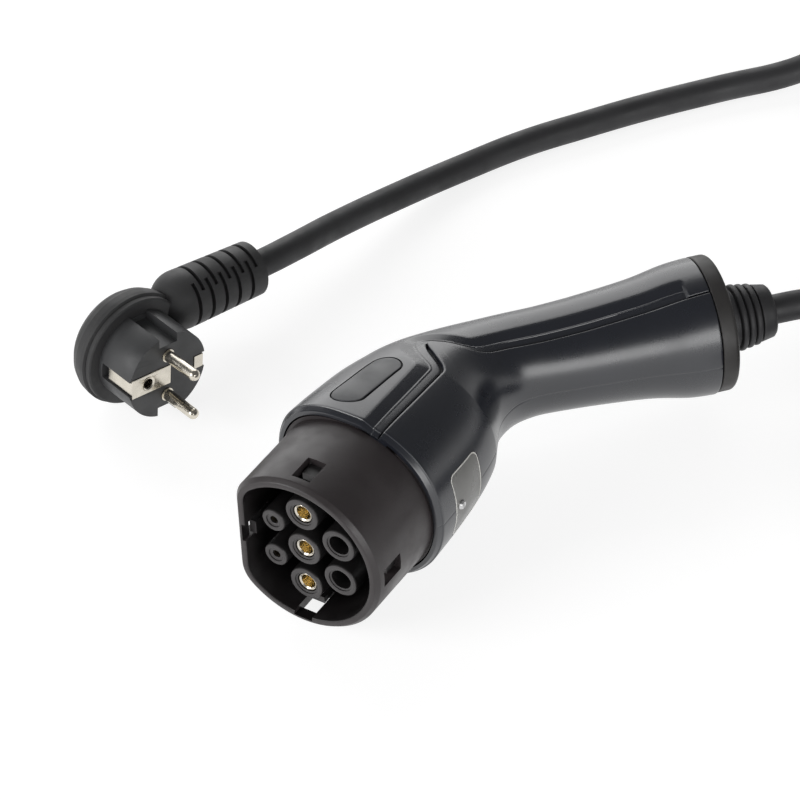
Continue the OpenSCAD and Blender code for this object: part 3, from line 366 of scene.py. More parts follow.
def mesh_piece(name, points, faces, slot=None, node_names=(), look=None):
    """Smooth-shaded piece in place of CAD nodes, or a cutter without a slot. Points in millimetres."""
    mesh = bpy.data.meshes.new(name)
    mesh.from_pydata([tuple(p) for p in np.asarray(points) * MM], [], faces)
    mesh.validate()
    turned = bmesh.new()
    turned.from_mesh(mesh)
    bmesh.ops.recalc_face_normals(turned, faces=turned.faces)
    turned.to_mesh(mesh)
    turned.free()
    obj = bpy.data.objects.new(name, mesh)
    scene.collection.objects.link(obj)
    if slot is None:
        return obj
    mesh.materials.append(M[look or slot])
    shade(mesh)
    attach(obj, "root")
    if node_names:
        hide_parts(*node_names)
    return obj


def shade(mesh):
    mesh.polygons.foreach_set("use_smooth", [True] * len(mesh.polygons))
    mesh.set_sharp_from_angle(angle=SHARP)


def cut(obj, cutters):
    """Takes the cutters out of a piece for good."""
    for k, cutter in enumerate(cutters):
        mod = obj.modifiers.new(f"cut_{k}", "BOOLEAN")
        mod.operation, mod.solver, mod.object = "DIFFERENCE", "EXACT", cutter
    graph = bpy.context.evaluated_depsgraph_get()
    graph.update()
    mesh = bpy.data.meshes.new_from_object(obj.evaluated_get(graph))
    obj.modifiers.clear()
    old, obj.data = obj.data, mesh
    bpy.data.meshes.remove(old)
    shade(mesh)
    for cutter in cutters:
        bpy.data.objects.remove(cutter)


def ring_faces(count, n, closed=True):
    """Faces between rings of n points each; closed joins the last ring to the first."""
    faces = []
    for k in range(count if closed else count - 1):
        a, b = k * n, (k + 1) % count * n
        faces += [(a + i, a + (i + 1) % n, b + (i + 1) % n, b + i) for i in range(n)]
    return faces


def ring_solid(rings):
    """Points and faces of rings whose last joins the first."""
    return np.concatenate(rings), ring_faces(len(rings), len(rings[0]))


def capped(low, high):
    """Points and faces between two rings, each closed by a flat face."""
    n = len(low)
    caps = [tuple(range(n)), tuple(range(2 * n - 1, n - 1, -1))]
    return np.concatenate((low, high)), ring_faces(2, n, closed=False) + caps


def shell_faces(nu, nv):
    """Faces of a closed shell: outer grid, inner grid and the four edges between them."""
    n = nu * nv
    i, j = np.meshgrid(np.arange(nu - 1), np.arange(nv - 1), indexing="ij")
    a = (i * nv + j).ravel()
    top = np.stack((a, a + nv, a + nv + 1, a + 1), 1)
    low = np.stack((a, a + 1, a + nv + 1, a + nv), 1) + n
    i, j = np.arange(nu - 1) * nv, np.arange(nv - 1)
    last_v, last_u = nv - 1, (nu - 1) * nv
    walls = [np.stack((i + nv, i, i + n, i + nv + n), 1),
             np.stack((i + last_v, i + nv + last_v, i + nv + last_v + n, i + last_v + n), 1),
             np.stack((j, j + 1, j + 1 + n, j + n), 1),
             np.stack((j + 1 + last_u, j + last_u, j + last_u + n, j + 1 + last_u + n), 1)]
    return np.concatenate([top, low] + walls).tolist()


def spread(*parts):
    """Places in a row; each part is (from, to, count)."""
    return np.unique(np.concatenate([np.linspace(a, b, n) for a, b, n in parts]))


# Places along the body: close together at the lip, round the lobe of the parting line and at the rear
LOBE_FROM, LOBE_TO = BODY_LEN - 2, BODY_LEN + 32
LANE_END = SHELL_LEN - 9.0
U = spread((0, 0.6, 5), (0.6, LIP_LEN - 0.3, 4), (LIP_LEN - 0.3, LIP_LEN + 0.3, 7),
           (LIP_LEN + 0.3, LOBE_FROM, 42), (LOBE_FROM, LOBE_TO, 126), (LOBE_TO, LANE_END - 2, 62),
           (LANE_END - 2, LANE_END + 1, 9), (LANE_END + 1, SHELL_LEN - 1, 6), (SHELL_LEN - 1, SHELL_LEN, 5))
EDGE = parting_angle(U)
TOP = row(U, HEIGHT)
# How far the shells' ends are drawn in: bevelled lip in front, small round edge at the rear
LIP_SLOPE = 1.3
END_DROP = np.interp(U, [0, 0.15, 0.45, LIP_LEN - 0.1, LIP_LEN, LIP_LEN + 0.15, LIP_LEN + 0.3,
                         SHELL_LEN - 0.75, SHELL_LEN - 0.25, SHELL_LEN],
                     [LIP_SLOPE + 0.7, LIP_SLOPE + 0.2, LIP_SLOPE, LIP_DEPTH, 0.3, 0.06, 0, 0, 0.12, 0.4])


def widened(u):
    """Factor that keeps widths square to the parting line where it runs askew."""
    slant = np.gradient(np.radians(EDGE) * TOP, U)
    return softened(u, U, np.sqrt(1 + slant ** 2), WIDTH_SOFT)


# Points of the parting line that distances are taken from, and points of the cover taken at a time
LINE_POINTS, AT_A_TIME = 700, 2000


def parting_distance(u, v):
    """Distance from the parting line over the skin, for points of the cover."""
    fine = np.linspace(0, SHELL_LEN, LINE_POINTS)
    line = np.stack((fine, np.radians(parting_angle(fine)) * row(fine, HEIGHT)), 1)
    at = np.stack(np.broadcast_arrays(u, np.radians(v) * row(u, HEIGHT)), -1)
    flat = at.reshape(-1, 2)
    out = np.empty(len(flat))
    for k in range(0, len(flat), AT_A_TIME):
        some = slice(k, k + AT_A_TIME)
        out[some] = np.sqrt(((flat[some, None] - line[None]) ** 2).sum(-1)).min(1)
    return out.reshape(at.shape[:-1])


# Section of the cover's edge: distance from the parting line and depth under the skin
LANE_IN = PARTING_GAP + LANE_W
BEAD = 0.22
SLOPE_IN = LANE_IN + SLOPE_W
COVER_EDGE = np.array([
    (PARTING_GAP, LANE_DEPTH + 0.45), (PARTING_GAP + 0.1, LANE_DEPTH + 0.2),
    (PARTING_GAP + 0.3, LANE_DEPTH + 0.04), (PARTING_GAP + 0.6, LANE_DEPTH),
    (LANE_IN - 0.45, LANE_DEPTH), (LANE_IN - 0.3, LANE_DEPTH - 0.03),
    (LANE_IN - 0.1, LANE_DEPTH - BEAD), (LANE_IN + 0.15, LANE_DEPTH - BEAD - 0.04),
    (LANE_IN + 0.5, LANE_DEPTH - 0.16), (SLOPE_IN - 1.0, 0.42), (SLOPE_IN - 0.2, 0.15),
    (SLOPE_IN + 0.6, 0.02), (SLOPE_IN + 1.4, 0)])
# Round edge of the cover at the parting line, also where the lane has ended
COVER_ROUND = np.array([(PARTING_GAP, 0.4), (PARTING_GAP + 0.15, 0.12), (PARTING_GAP + 0.5, 0)])
# Points over the cover: their step near its edge, and how many lie from there to the middle
EDGE_STEP, COVER_POINTS = 0.4, 24


def make_cover():
    k = widened(U)
    steps = np.arange(PARTING_GAP + 2 * EDGE_STEP, SLOPE_IN + 2, EDGE_STEP)
    near = np.unique(np.round(np.concatenate((COVER_EDGE[:, 0], steps, [SLOPE_IN + 3])), 2))
    side = EDGE[:, None] - arc(U[:, None], near[None] * k[:, None])
    inner = side[:, -1:] * np.linspace(1, 0, COVER_POINTS)[None, 1:]
    half = np.concatenate((side, inner), 1)
    v = np.concatenate((-half, half[:, -2::-1]), 1)
    u = np.broadcast_to(U[:, None], v.shape)
    distance = parting_distance(u, np.abs(v))
    # The lane stops short of the rear end
    lane = np.interp(distance, *COVER_EDGE.T) * np.interp(u, [LANE_END - 0.5, LANE_END + 0.5], [1, 0])
    depth = np.maximum(lane, np.interp(distance, *COVER_ROUND.T))
    outside = skin(u, v, -depth - END_DROP[:, None])
    inside = skin(u, v, -SHELL_WALL)
    points = np.concatenate((outside.reshape(-1, 3), inside.reshape(-1, 3)))
    return mesh_piece("cover_moulding", points, shell_faces(*v.shape), "shell_plastic", ["saddle_cover"])


# Ledge that carries the cover, and the seam between the halves
CARRY_W, CARRY_T = 4.0, 1.6
SEAM_W, SEAM_DEPTH = 0.5, 0.16
# Section of a half at the parting line: distance from the line and depth under the skin
LEDGE = SHELL_WALL + SKIN_GAP
HALF_EDGE = np.array([
    (-CARRY_W, LEDGE), (0, LEDGE), (0.001, 1.2), (0.03, 0.5), (0.12, 0.22), (0.3, 0.07), (0.6, 0.01),
    (1.0, 0), (1.6, 0), (2.6, 0), (CARRY_W, 0), (CARRY_W + 0.2, 0)])
# Depth of its inside: the ledge ends before the last point
HALF_INSIDE = np.full(len(HALF_EDGE), LEDGE + CARRY_T)
HALF_INSIDE[-1] = SHELL_WALL
# Steps round a half from its edge to the seam, and the last two points of the seam
HALF_STEPS = 47
SEAM_EDGE = np.array([(0.3, 0.03), (0.0, SEAM_DEPTH)])


def make_half(name, node, mirrored):
    """Half shell on one side of the middle plane, with the ledge under the cover."""
    k = widened(U)[:, None]
    offsets, depths = HALF_EDGE.T
    near = EDGE[:, None] + arc(U[:, None], offsets[None] * k)
    last = 180 - arc(U[:, None], SEAM_W)
    far = near[:, -1:] + (last - near[:, -1:]) * np.linspace(0, 1, HALF_STEPS + 1)[None, 1:]
    seam = 180 - arc(U[:, None], SEAM_EDGE[None, :, 0])
    v = np.concatenate((near, far, seam), 1)
    depth = np.concatenate((depths, np.zeros(HALF_STEPS), SEAM_EDGE[:, 1]))
    under = np.concatenate((HALF_INSIDE, np.full(HALF_STEPS + len(SEAM_EDGE), SHELL_WALL)))
    drop = np.where(depth[None] > SHELL_WALL, 0, END_DROP[:, None])
    outside = skin(U[:, None], v, -depth[None] - drop)
    inside = skin(U[:, None], v, -np.broadcast_to(under[None], v.shape))
    points = np.concatenate((outside.reshape(-1, 3), inside.reshape(-1, 3)))
    faces = shell_faces(*v.shape)
    if mirrored:
        points[:, 2] = 2 * GUN[2] - points[:, 2]
        faces = [f[::-1] for f in faces]
    return mesh_piece(name, points, faces, "shell_plastic", [node])


# Plates that follow the skin
OUTLINE_STEP, SAME_POINT = 0.8, 1e-6


def round_outline(length, width, radius, n):
    """Rectangle with round corners, as lengths along and round the body, in steps that follow a bend."""
    turn = np.radians(np.linspace(0, 90, n))
    pts = []
    for k, (sx, sy) in enumerate(((1, 1), (-1, 1), (-1, -1), (1, -1))):
        a = turn + k * math.pi / 2
        pts.append(np.stack((sx * (length / 2 - radius) + radius * np.cos(a),
                             sy * (width / 2 - radius) + radius * np.sin(a)), 1))
    pts = np.concatenate(pts)
    dense = []
    for p, q in zip(pts, np.roll(pts, -1, axis=0)):
        count = int(np.linalg.norm(q - p) / OUTLINE_STEP) + 1
        if np.linalg.norm(q - p) > SAME_POINT:
            dense.append(p + (q - p) * np.arange(count)[:, None] / count)
    return np.concatenate(dense)


def patch(at, outline, levels, low):
    """Points and faces of a closed plate; levels are (inset towards the middle, raise) from the rim."""
    n = len(outline)
    size = np.linalg.norm(outline, axis=1, keepdims=True)
    rings = [outline * (1 - inset / size) for inset, _ in levels]
    raises = [raised for _, raised in levels]
    for share in (0.75, 0.5, 0.25):
        rings.append(rings[len(levels) - 1] * share)
        raises.append(levels[-1][1])
    rings.insert(0, outline)
    raises.insert(0, low)

    def place(p, raised):
        return skin(at[0] + p[:, 0], at[1] + arc(np.full(len(p), at[0]), p[:, 1]), raised)

    points = np.concatenate([place(p, r) for p, r in zip(rings, raises)]
                            + [place(np.zeros((1, 2)), raises[-1]), place(np.zeros((1, 2)), low)])
    faces = ring_faces(len(rings), n, closed=False)
    top, middle, under = (len(rings) - 1) * n, len(rings) * n, len(rings) * n + 1
    for i in range(n):
        j = (i + 1) % n
        faces += [(top + i, top + j, middle), (j, i, under)]
    return points, faces


BADGE_AT, BADGE_LEN, BADGE_W, BADGE_GAP, BADGE_T = (26.0, 79.0), 36.5, 11.5, 0.55, 1.2
RATING_AT, RATING_LEN, RATING_W, RATING_R, RATING_T = (22.0, 180.4), 20.0, 29.0, 3.0, 0.6
BADGE_CORNER, RATING_CORNER = 14, 8
PLATE_FIT, PLATE_BED, CUT_ABOVE = 0.2, 0.1, 1.5
BADGE_LEVELS = [(0, -0.3), (0.12, -0.08), (0.35, 0), (0.8, 0.02)]
RATING_LEVELS = [(0, -0.05), (0.12, 0.06), (0.5, 0.08), (0.62, -0.04), (1.2, -0.06)]
# Strips of the rating plate's levels that make its pale border
RATING_BORDER = (1, 4)


def plate_cutter(at, length, width, radius, depth, n):
    outline = round_outline(length, width, radius, n)
    return mesh_piece("cutter", *patch(at, outline, [(0, CUT_ABOVE)], -depth - PLATE_BED))


def make_connector_shells():
    cover = make_cover()
    cut(cover, [plate_cutter(BADGE_AT, BADGE_LEN + 2 * BADGE_GAP, BADGE_W + 2 * BADGE_GAP,
                             BADGE_W / 2 + BADGE_GAP, BADGE_T, BADGE_CORNER)])
    halves = (("upper_moulding", "upper_shell", False), ("lower_moulding", "lower_shell", True))
    for name, node, mirrored in halves:
        shell = make_half(name, node, mirrored)
        cut(shell, [plate_cutter(RATING_AT, RATING_LEN + 2 * PLATE_FIT, RATING_W + 2 * PLATE_FIT, RATING_R,
                                 RATING_T, RATING_CORNER)])


def make_plates():
    rim = round_outline(BADGE_LEN, BADGE_W, BADGE_W / 2, BADGE_CORNER)
    mesh_piece("badge_moulding", *patch(BADGE_AT, rim, BADGE_LEVELS, -BADGE_T), "badge_plastic",
               ["badge_plate"])
    rim = round_outline(RATING_LEN, RATING_W, RATING_R, RATING_CORNER)
    plate = mesh_piece("rating_moulding", *patch(RATING_AT, rim, RATING_LEVELS, -RATING_T), "rating_foil",
                       ["rating_plate"])
    plate.data.materials.append(M["rating_line"])
    first, last = RATING_BORDER
    for k in range(first * len(rim), last * len(rim)):
        plate.data.polygons[k].material_index = 1


make_connector_shells()
make_plates()


# Nose and contact carrier, with the sizes of part.scad and rounded edges
NOSE_R, NOSE_FLAT, NOSE_CORNER, NOSE_WALL = 35.0, 28.0, 14.0, 4.0
SPIGOT_LEN, SPIGOT_STEP = 10.0, 2.2
WINDOW_W, WINDOW_LEN, WINDOW_Y = 8.0, 11.5, 4.7
BASE_Y, BASE_T, LEDGE_T, LEDGE_H, CHANNEL = NOSE_LEN - 4.5, 8.0, 2.0, 1.2, 1.5
TONGUE_W, TONGUE_T, TONGUE_CATCH = WINDOW_W - 2, 1.6, 1.2
# Inside of the wall at each latch, by the angle of the latch round the nose
LATCH_R, FLAT_LATCH = NOSE_R - NOSE_WALL, 180
LATCH_SIDES = {0: LATCH_R, 90: LATCH_R, FLAT_LATCH: NOSE_FLAT - NOSE_WALL, 270: LATCH_R}
OPEN_LATCHES = (180, 270)
LATCH_FIT, CHANNEL_LAP = 0.2, 0.05
SLEEVE_Y, POWER_SLEEVE_R, SIGNAL_SLEEVE_R = 3.5, 7.25, 5.1
POWER_BORE_R, SIGNAL_BORE_R, SIGNAL_MOUTH_R = 4.2, 2.3, 1.6
CONTACT_Y, CONTACT_R, CONTACT_BORE_R = 5.0, 4.0, 3.0
POWER_AT = [(0, 0), (0, 17.5), (0, -17.5)]
SPARE_AT = [(15.7, 8.75), (15.7, -8.75)]
SIGNAL_AT = [(-13.2, 8.75), (-13.2, -8.75)]
# Rim of the nose: growth of the outline and distance from the front
NOSE_RIM = [(0, 20), (0, 2.3), (-0.05, 2.0), (-0.22, 1.7), (-1.2, 0.5), (-1.45, 0.13), (-1.7, 0), (-3.2, 0),
            (-3.6, 0.08), (-3.88, 0.3), (-NOSE_WALL, 0.7), (-NOSE_WALL, 16)]
# Points of the outline's round, of a corner and of the flat side, and points of a turned ring
ROUND_POINTS, CORNER_POINTS, FLAT_POINTS, RING_POINTS = 132, 26, 11, 56
# How far cutters reach past what they cut
CUT_PAST, CUT_OUT = 1.0, 5.0


def nose_outline(grow):
    """Section of the nose as (x, z): a round with one flat side and round corners."""
    r, flat, c = NOSE_R + grow, NOSE_FLAT + grow, NOSE_CORNER + grow
    mx, mz = c - flat, math.sqrt((r - c) ** 2 - (flat - c) ** 2)
    touch = math.atan2(mz, mx)
    big = np.linspace(-touch, touch, ROUND_POINTS)
    main = np.stack((r * np.cos(big), r * np.sin(big)), 1)
    corner = np.linspace(touch, math.pi, CORNER_POINTS)[1:]
    upper = np.stack((mx + c * np.cos(corner), mz + c * np.sin(corner)), 1)
    down = np.linspace(mz, -mz, FLAT_POINTS)[1:-1]
    side = np.stack((np.full(len(down), -flat), down), 1)
    return np.concatenate((main, upper, side, upper[::-1] * (1, -1)))


def nose_ring(grow, y):
    xz = nose_outline(grow)
    return np.stack((xz[:, 0], np.full(len(xz), y), xz[:, 1]), 1) + GUN


def lathe_ring(at, r, y):
    a = np.linspace(0, 2 * math.pi, RING_POINTS, endpoint=False)
    return np.stack((at[0] + r * np.cos(a), np.full(len(a), y), at[1] + r * np.sin(a)), 1) + GUN


def latch_box(side, r0, r1, width, y0, y1):
    """Corners and faces of a box on one side of the nose."""
    c, s = math.cos(math.radians(side)), math.sin(math.radians(side))
    corners = [(r, y, w) for r in (r0, r1) for y in (y0, y1) for w in (-width / 2, width / 2)]
    points = [(r * c - w * s, y, r * s + w * c) for r, y, w in corners]
    faces = [(0, 1, 3, 2), (4, 6, 7, 5), (0, 4, 5, 1), (2, 3, 7, 6), (0, 2, 6, 4), (1, 5, 7, 3)]
    return np.array(points) + GUN, faces


def make_nose():
    back, seat = NOSE_LEN + SPIGOT_LEN, BASE_Y - LEDGE_T
    wall, ledge = -NOSE_WALL, -NOSE_WALL - LEDGE_H
    profile = [(0, NOSE_LEN)] + NOSE_RIM + [
        (wall, seat), (ledge, seat), (ledge, BASE_Y), (wall, BASE_Y), (wall, back), (-SPIGOT_STEP, back),
        (-SPIGOT_STEP, NOSE_LEN)]
    nose = mesh_piece("nose_moulding", *ring_solid([nose_ring(*p) for p in profile]), "nose_plastic",
                      ["nose_shroud"])
    cutters = []
    for side, r in LATCH_SIDES.items():
        boxes = [(r - CUT_PAST, NOSE_R + CUT_OUT, WINDOW_W, WINDOW_Y, WINDOW_Y + WINDOW_LEN),
                 (r - LEDGE_H - CUT_PAST, r, WINDOW_W, seat - CUT_PAST, BASE_Y + CUT_PAST)]
        if side in OPEN_LATCHES:
            boxes.append((r - CUT_PAST, r + CHANNEL, WINDOW_W, -CUT_PAST, WINDOW_Y + CHANNEL_LAP))
        cutters += [mesh_piece("cutter", *latch_box(side, *b)) for b in boxes]
    cut(nose, cutters)


def sleeve(at, radius, bore, mouth):
    """Rings of a tube with a round rim and a countersunk bore, which may be narrower at its mouth."""
    y = SLEEVE_Y
    profile = [(radius, BASE_Y), (radius, y + 1.0), (radius - 0.1, y + 0.5), (radius - 0.35, y + 0.15),
               (radius - 0.8, y), (bore + 1.0, y), (bore + 0.8, y + 0.12), (bore + 0.7, y + 0.5),
               (mouth + 0.25, y + 0.6), (mouth + 0.06, y + 0.75), (mouth, y + 1.0), (mouth, y + 1.3),
               (bore, y + 1.32), (bore, BASE_Y)]
    return [lathe_ring(at, *p) for p in profile]


def make_sleeves():
    """Sleeves round the contacts and the latch tongues, as one piece."""
    points, faces = [], []

    def add(more_points, more_faces):
        start = sum(len(p) for p in points)
        points.append(np.asarray(more_points))
        faces.extend(tuple(start + i for i in f) for f in more_faces)

    for places, *sizes in ((POWER_AT + SPARE_AT, POWER_SLEEVE_R, POWER_BORE_R, POWER_BORE_R),
                           (SIGNAL_AT, SIGNAL_SLEEVE_R, SIGNAL_BORE_R, SIGNAL_MOUTH_R)):
        for at in places:
            add(*ring_solid(sleeve(at, *sizes)))
    for side, r in LATCH_SIDES.items():
        face, catch_end = r - LATCH_FIT, WINDOW_Y + WINDOW_LEN - LATCH_FIT
        catch_y = WINDOW_Y + (LATCH_FIT if side == FLAT_LATCH else WINDOW_LEN / 2)
        add(*latch_box(side, face - TONGUE_T, face, TONGUE_W, catch_y, BASE_Y))
        add(*latch_box(side, face, r + TONGUE_CATCH, TONGUE_W, catch_y, catch_end))
    # The sleeves take the lighter copy of the nose plastic: painted light and shade
    mesh_piece("carrier_sleeves", np.concatenate(points), faces, "nose_plastic", look="sleeve_lit_and_shaded_plastic")


def make_carrier_base():
    inset = -NOSE_WALL - LATCH_FIT
    # The base takes the darker copy of the nose plastic: painted shade
    base = mesh_piece("carrier_base", *capped(nose_ring(inset, BASE_Y), nose_ring(inset, BASE_Y + BASE_T)),
                      "nose_plastic", ["contact_carrier"], look="base_plastic_painted_shade")
    cutters = []
    for places, bore in ((POWER_AT, POWER_BORE_R), (SIGNAL_AT, SIGNAL_BORE_R)):
        for at in places:
            ends = [lathe_ring(at, bore, y) for y in (BASE_Y - CUT_PAST, BASE_Y + BASE_T + CUT_PAST)]
            cutters.append(mesh_piece("cutter", *capped(*ends)))
    cut(base, cutters)


def make_lips():
    """Bright turned lip in front of each power contact."""
    r, bore, y = CONTACT_R, CONTACT_BORE_R, CONTACT_Y
    profile = [(r, y), (r, y - 0.15), (r - 0.25, y - 0.4), (r - 0.4, y - 0.42), (bore + 0.1, y - 0.1),
               (bore, y)]
    for k, at in enumerate(POWER_AT):
        mesh_piece(f"contact_lip_{k}", *ring_solid([lathe_ring(at, *p) for p in profile]), "pin_nickel")


make_nose()
make_sleeves()
make_carrier_base()
make_lips()


# Bush of the earth socket in the face of the plug
PLUG_AT, PLUG_YAW, PLUG_TILT = np.array((-141.0, -35.0, 25.0)), math.radians(73.0), math.radians(7.0)
EARTH_HOLE_X, BUSH_POINTS = -10.0, 48
# Section of the bush: radius and height over the face
BUSH = [(3.3, 0.25), (3.25, 0.45), (3.05, 0.55), (2.75, 0.5), (2.3, 0.2), (2.2, -0.4), (2.2, -5), (2.45, -5),
        (2.45, 0.25)]


def plug_frame(p):
    """From the frame of the plug, pins along z, to the frame of the part."""
    x, y, z = p[:, 0], -p[:, 2], p[:, 1]
    c, s = math.cos(PLUG_TILT), math.sin(PLUG_TILT)
    x, z = x * c + z * s, z * c - x * s
    c, s = math.cos(PLUG_YAW), math.sin(PLUG_YAW)
    x, y = x * c - y * s, x * s + y * c
    return np.stack((x, y, z), 1) + PLUG_AT


def make_bush():
    a = np.linspace(0, 2 * math.pi, BUSH_POINTS, endpoint=False)
    rings = [plug_frame(np.stack((EARTH_HOLE_X + r * np.cos(a), r * np.sin(a), np.full(len(a), z)), 1))
             for r, z in BUSH]
    return mesh_piece("earth_bush", *ring_solid(rings), "pin_nickel")


earth_bush = make_bush()


# Leads: the route's points from part.scad, in millimetres
CABLE_D = 12.0
COIL_AT = np.array((194.0, 108.0, 1.0))
COIL_R, COIL_WIDE = 75.0, 5
# Angles of the coil in degrees: its start, the winding of a layer, the way down at the eye, and the step
COIL_START, COIL_WIND, COIL_SINK, COIL_STEP = 138.0, 1374.0, 180.0, 20.0
LEAD_TIP = (57.22, 103.32, 38.6452)
LEAD_FRONT = [(67, 114, 38.2), (79, 127, 35), (90, 140, 28.8), (105, 157, 22.5)]
LEAD_REAR = [(218, 207, 7), (243, 207, 7), (256, 208, 6.5), (271, 213, 6.2), (284, 223, 6.2), (293, 239, 6.2),
             (296, 257, 6.2), (293, 275, 7), (284, 291, 10), (271, 301, 14), (256, 306, 16.6), (248, 307, 17),
             (242, 307, 17)]
PLUG_LEAD = [(-146.9, 34.631, 28.118), (-145.159, 40.326, 27.387), (-141, 60, 24.5), (-138, 84, 19.5),
             (-130, 127, 10.8), (-120, 159, 6.6), (-106, 187, 6.2), (-90, 211, 6.2), (-73, 235, 6.2),
             (-50, 264, 6.2), (-28, 287, 8), (-15, 300, 13.2), (-6, 306, 16.4), (-1, 307, 17), (2, 307, 17)]


def coil_points():
    """Turns of the coil: inwards on the top layer, down at the eye, and outwards on the bottom layer."""
    reach = CABLE_D * (COIL_WIDE - 1) / 2
    outer, inner = COIL_R + reach, COIL_R - reach
    top, low = COIL_AT[2] + 1.5 * CABLE_D, COIL_AT[2] + 0.5 * CABLE_D
    eye, end = COIL_WIND + COIL_SINK, 2 * COIL_WIND + COIL_SINK
    turned = np.arange(0.0, end + 1, COIL_STEP)
    r = np.interp(turned, [0, COIL_WIND, eye, end], [outer, inner, inner, outer])
    share = np.clip((turned - COIL_WIND) / COIL_SINK, 0, 1)
    z = top + (low - top) * share ** 2 * (3 - 2 * share)
    a = np.radians(COIL_START - turned)
    return list(zip(COIL_AT[0] + r * np.cos(a), COIL_AT[1] + r * np.sin(a), z))


def lead(name, points, slot):
    curve = bpy.data.curves.new(name, "CURVE")
    curve.dimensions = "3D"
    # The points carry the radius, so that the box round the curve is the box round the tube
    curve.bevel_depth = 1.0
    curve.bevel_resolution = 6
    curve.resolution_u = 8
    curve.use_fill_caps = True
    spline = curve.splines.new("BEZIER")
    spline.bezier_points.add(len(points) - 1)
    for b, p in zip(spline.bezier_points, points):
        b.co = Vector(p) * MM
        b.radius = CABLE_D / 2 * MM
        b.handle_left_type = b.handle_right_type = "AUTO"
    obj = bpy.data.objects.new(name, curve)
    scene.collection.objects.link(obj)
    curve.materials.append(M[slot])
    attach(obj, "root")
    return obj


def curve_length(obj):
    """Length of a lead's middle line in metres, measured with its thickness off."""
    graph = bpy.context.evaluated_depsgraph_get()
    curve = obj.data
    depth, curve.bevel_depth = curve.bevel_depth, 0.0
    graph.update()
    mesh = obj.evaluated_get(graph).to_mesh()
    co = np.empty(len(mesh.vertices) * 3, np.float32)
    mesh.vertices.foreach_get("co", co)
    curve.bevel_depth = depth
    co = co.reshape(-1, 3)
    return float(np.linalg.norm(np.diff(co, axis=0), axis=1).sum())


# Strap of the coil: it holds the turns that lie at its place, and its tail lies on top
STRAP_AT, STRAP_W, STRAP_T = math.radians(-60.0), 14.0, 1.0
STRAP_IN, STRAP_OUT, STRAP_EDGE = 47.1, 98.5, 0.25
# Tail of the strap: distance from the coil's middle, and its height as a share of the strap's thickness
TAIL = np.array([(56.0, 0.0), (64.0, 1.0), (83.6, 1.0), (83.8, 0.9), (83.95, 0.6), (84.0, 0.0)])
TAIL_STEPS = np.linspace(57, 83, 14)
TURN_POINTS, STRAIGHT_UP = 11, 0.999


def strap_profile():
    """Points round the turns, with the direction away from them."""
    r = CABLE_D / 2
    low, high = COIL_AT[2], COIL_AT[2] + 2 * CABLE_D
    corners = ((STRAP_OUT - r, high - r), (STRAP_IN + r, high - r), (STRAP_IN + r, low + r),
               (STRAP_OUT - r, low + r))
    pts, away = [], []
    for k, (x, z) in enumerate(corners):
        a = np.radians(np.linspace(0, 90, TURN_POINTS)) + k * math.pi / 2
        turn = np.stack((np.cos(a), np.sin(a)), 1)
        pts.append(turn * r + (x, z))
        away.append(turn)
        if k == 0:
            laid = np.unique(np.concatenate((TAIL[:, 0], TAIL_STEPS)))[::-1]
            pts.append(np.column_stack((laid, np.full(len(laid), high))))
            away.append(np.tile((0.0, 1.0), (len(laid), 1)))
    return np.concatenate(pts), np.concatenate(away)


def make_strap():
    pts, away = strap_profile()
    on_top = away[:, 1] > STRAIGHT_UP
    outer = STRAP_T * (1 + np.where(on_top, np.interp(pts[:, 0], *TAIL.T), 0.0))
    half, soft = STRAP_W / 2, STRAP_W / 2 - STRAP_EDGE
    out = np.array((math.cos(STRAP_AT), math.sin(STRAP_AT), 0.0))
    side = np.array((-out[1], out[0], 0.0))
    under, over = np.zeros(len(outer)), outer - STRAP_EDGE
    section = ((-soft, outer), (soft, outer), (half, over), (half, under + STRAP_EDGE),
               (soft, under), (-soft, under), (-half, under + STRAP_EDGE), (-half, over))
    rings = []
    for w, off in section:
        rz = pts + away * off[:, None]
        at = rz[:, :1] * out + w * side + (0, 0, 1) * rz[:, 1:]
        rings.append(at + (COIL_AT[0], COIL_AT[1], 0.0))
    return mesh_piece("coil_strap", *ring_solid(rings), "tie_fabric", ["coil_tie"])


strap = make_strap()
vehicle_lead = lead("vehicle_lead", [LEAD_TIP] + LEAD_FRONT + coil_points() + LEAD_REAR, "lead_rubber")
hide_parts("lead_front", "lead_coil", "lead_rear")
mains_lead = lead("mains_lead", PLUG_LEAD[::-1], "lead_rubber")
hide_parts("plug_lead")
curve_length(vehicle_lead)
curve_length(mains_lead)


# Floor, world and lamps, in metres
FLOOR_SIZE, FLOOR_GREY = 6.0, (0.86, 0.86, 0.86, 1)
# Near the object the floor shows its shadow, and far off it is plain white: distance, glow and share of it
FLOOR_NEAR, FLOOR_FAR = 0.6, 1.5
GLOW_NEAR, GLOW_FAR = 1.37, 1.0
SHARE_NEAR, SHARE_FAR = 0.6, 1.0
# Strength of the world, and how high its backdrop starts and ends to fade
WORLD_LEVEL, BACKDROP_FROM, BACKDROP_TO = 0.15, 0.05, 0.2


def math_node(tree, operation, first, second):
    node = tree.nodes.new("ShaderNodeMath")
    node.operation = operation
    tree.links.new(first, node.inputs[0])
    tree.links.new(second, node.inputs[1])
    return node.outputs[0]


def ray_kind(tree, *kinds):
    """1 for the given kinds of rays and 0 for others."""
    path = tree.nodes.new("ShaderNodeLightPath")
    value = path.outputs[kinds[0]]
    for kind in kinds[1:]:
        value = math_node(tree, "MAXIMUM", value, path.outputs[kind])
    return value


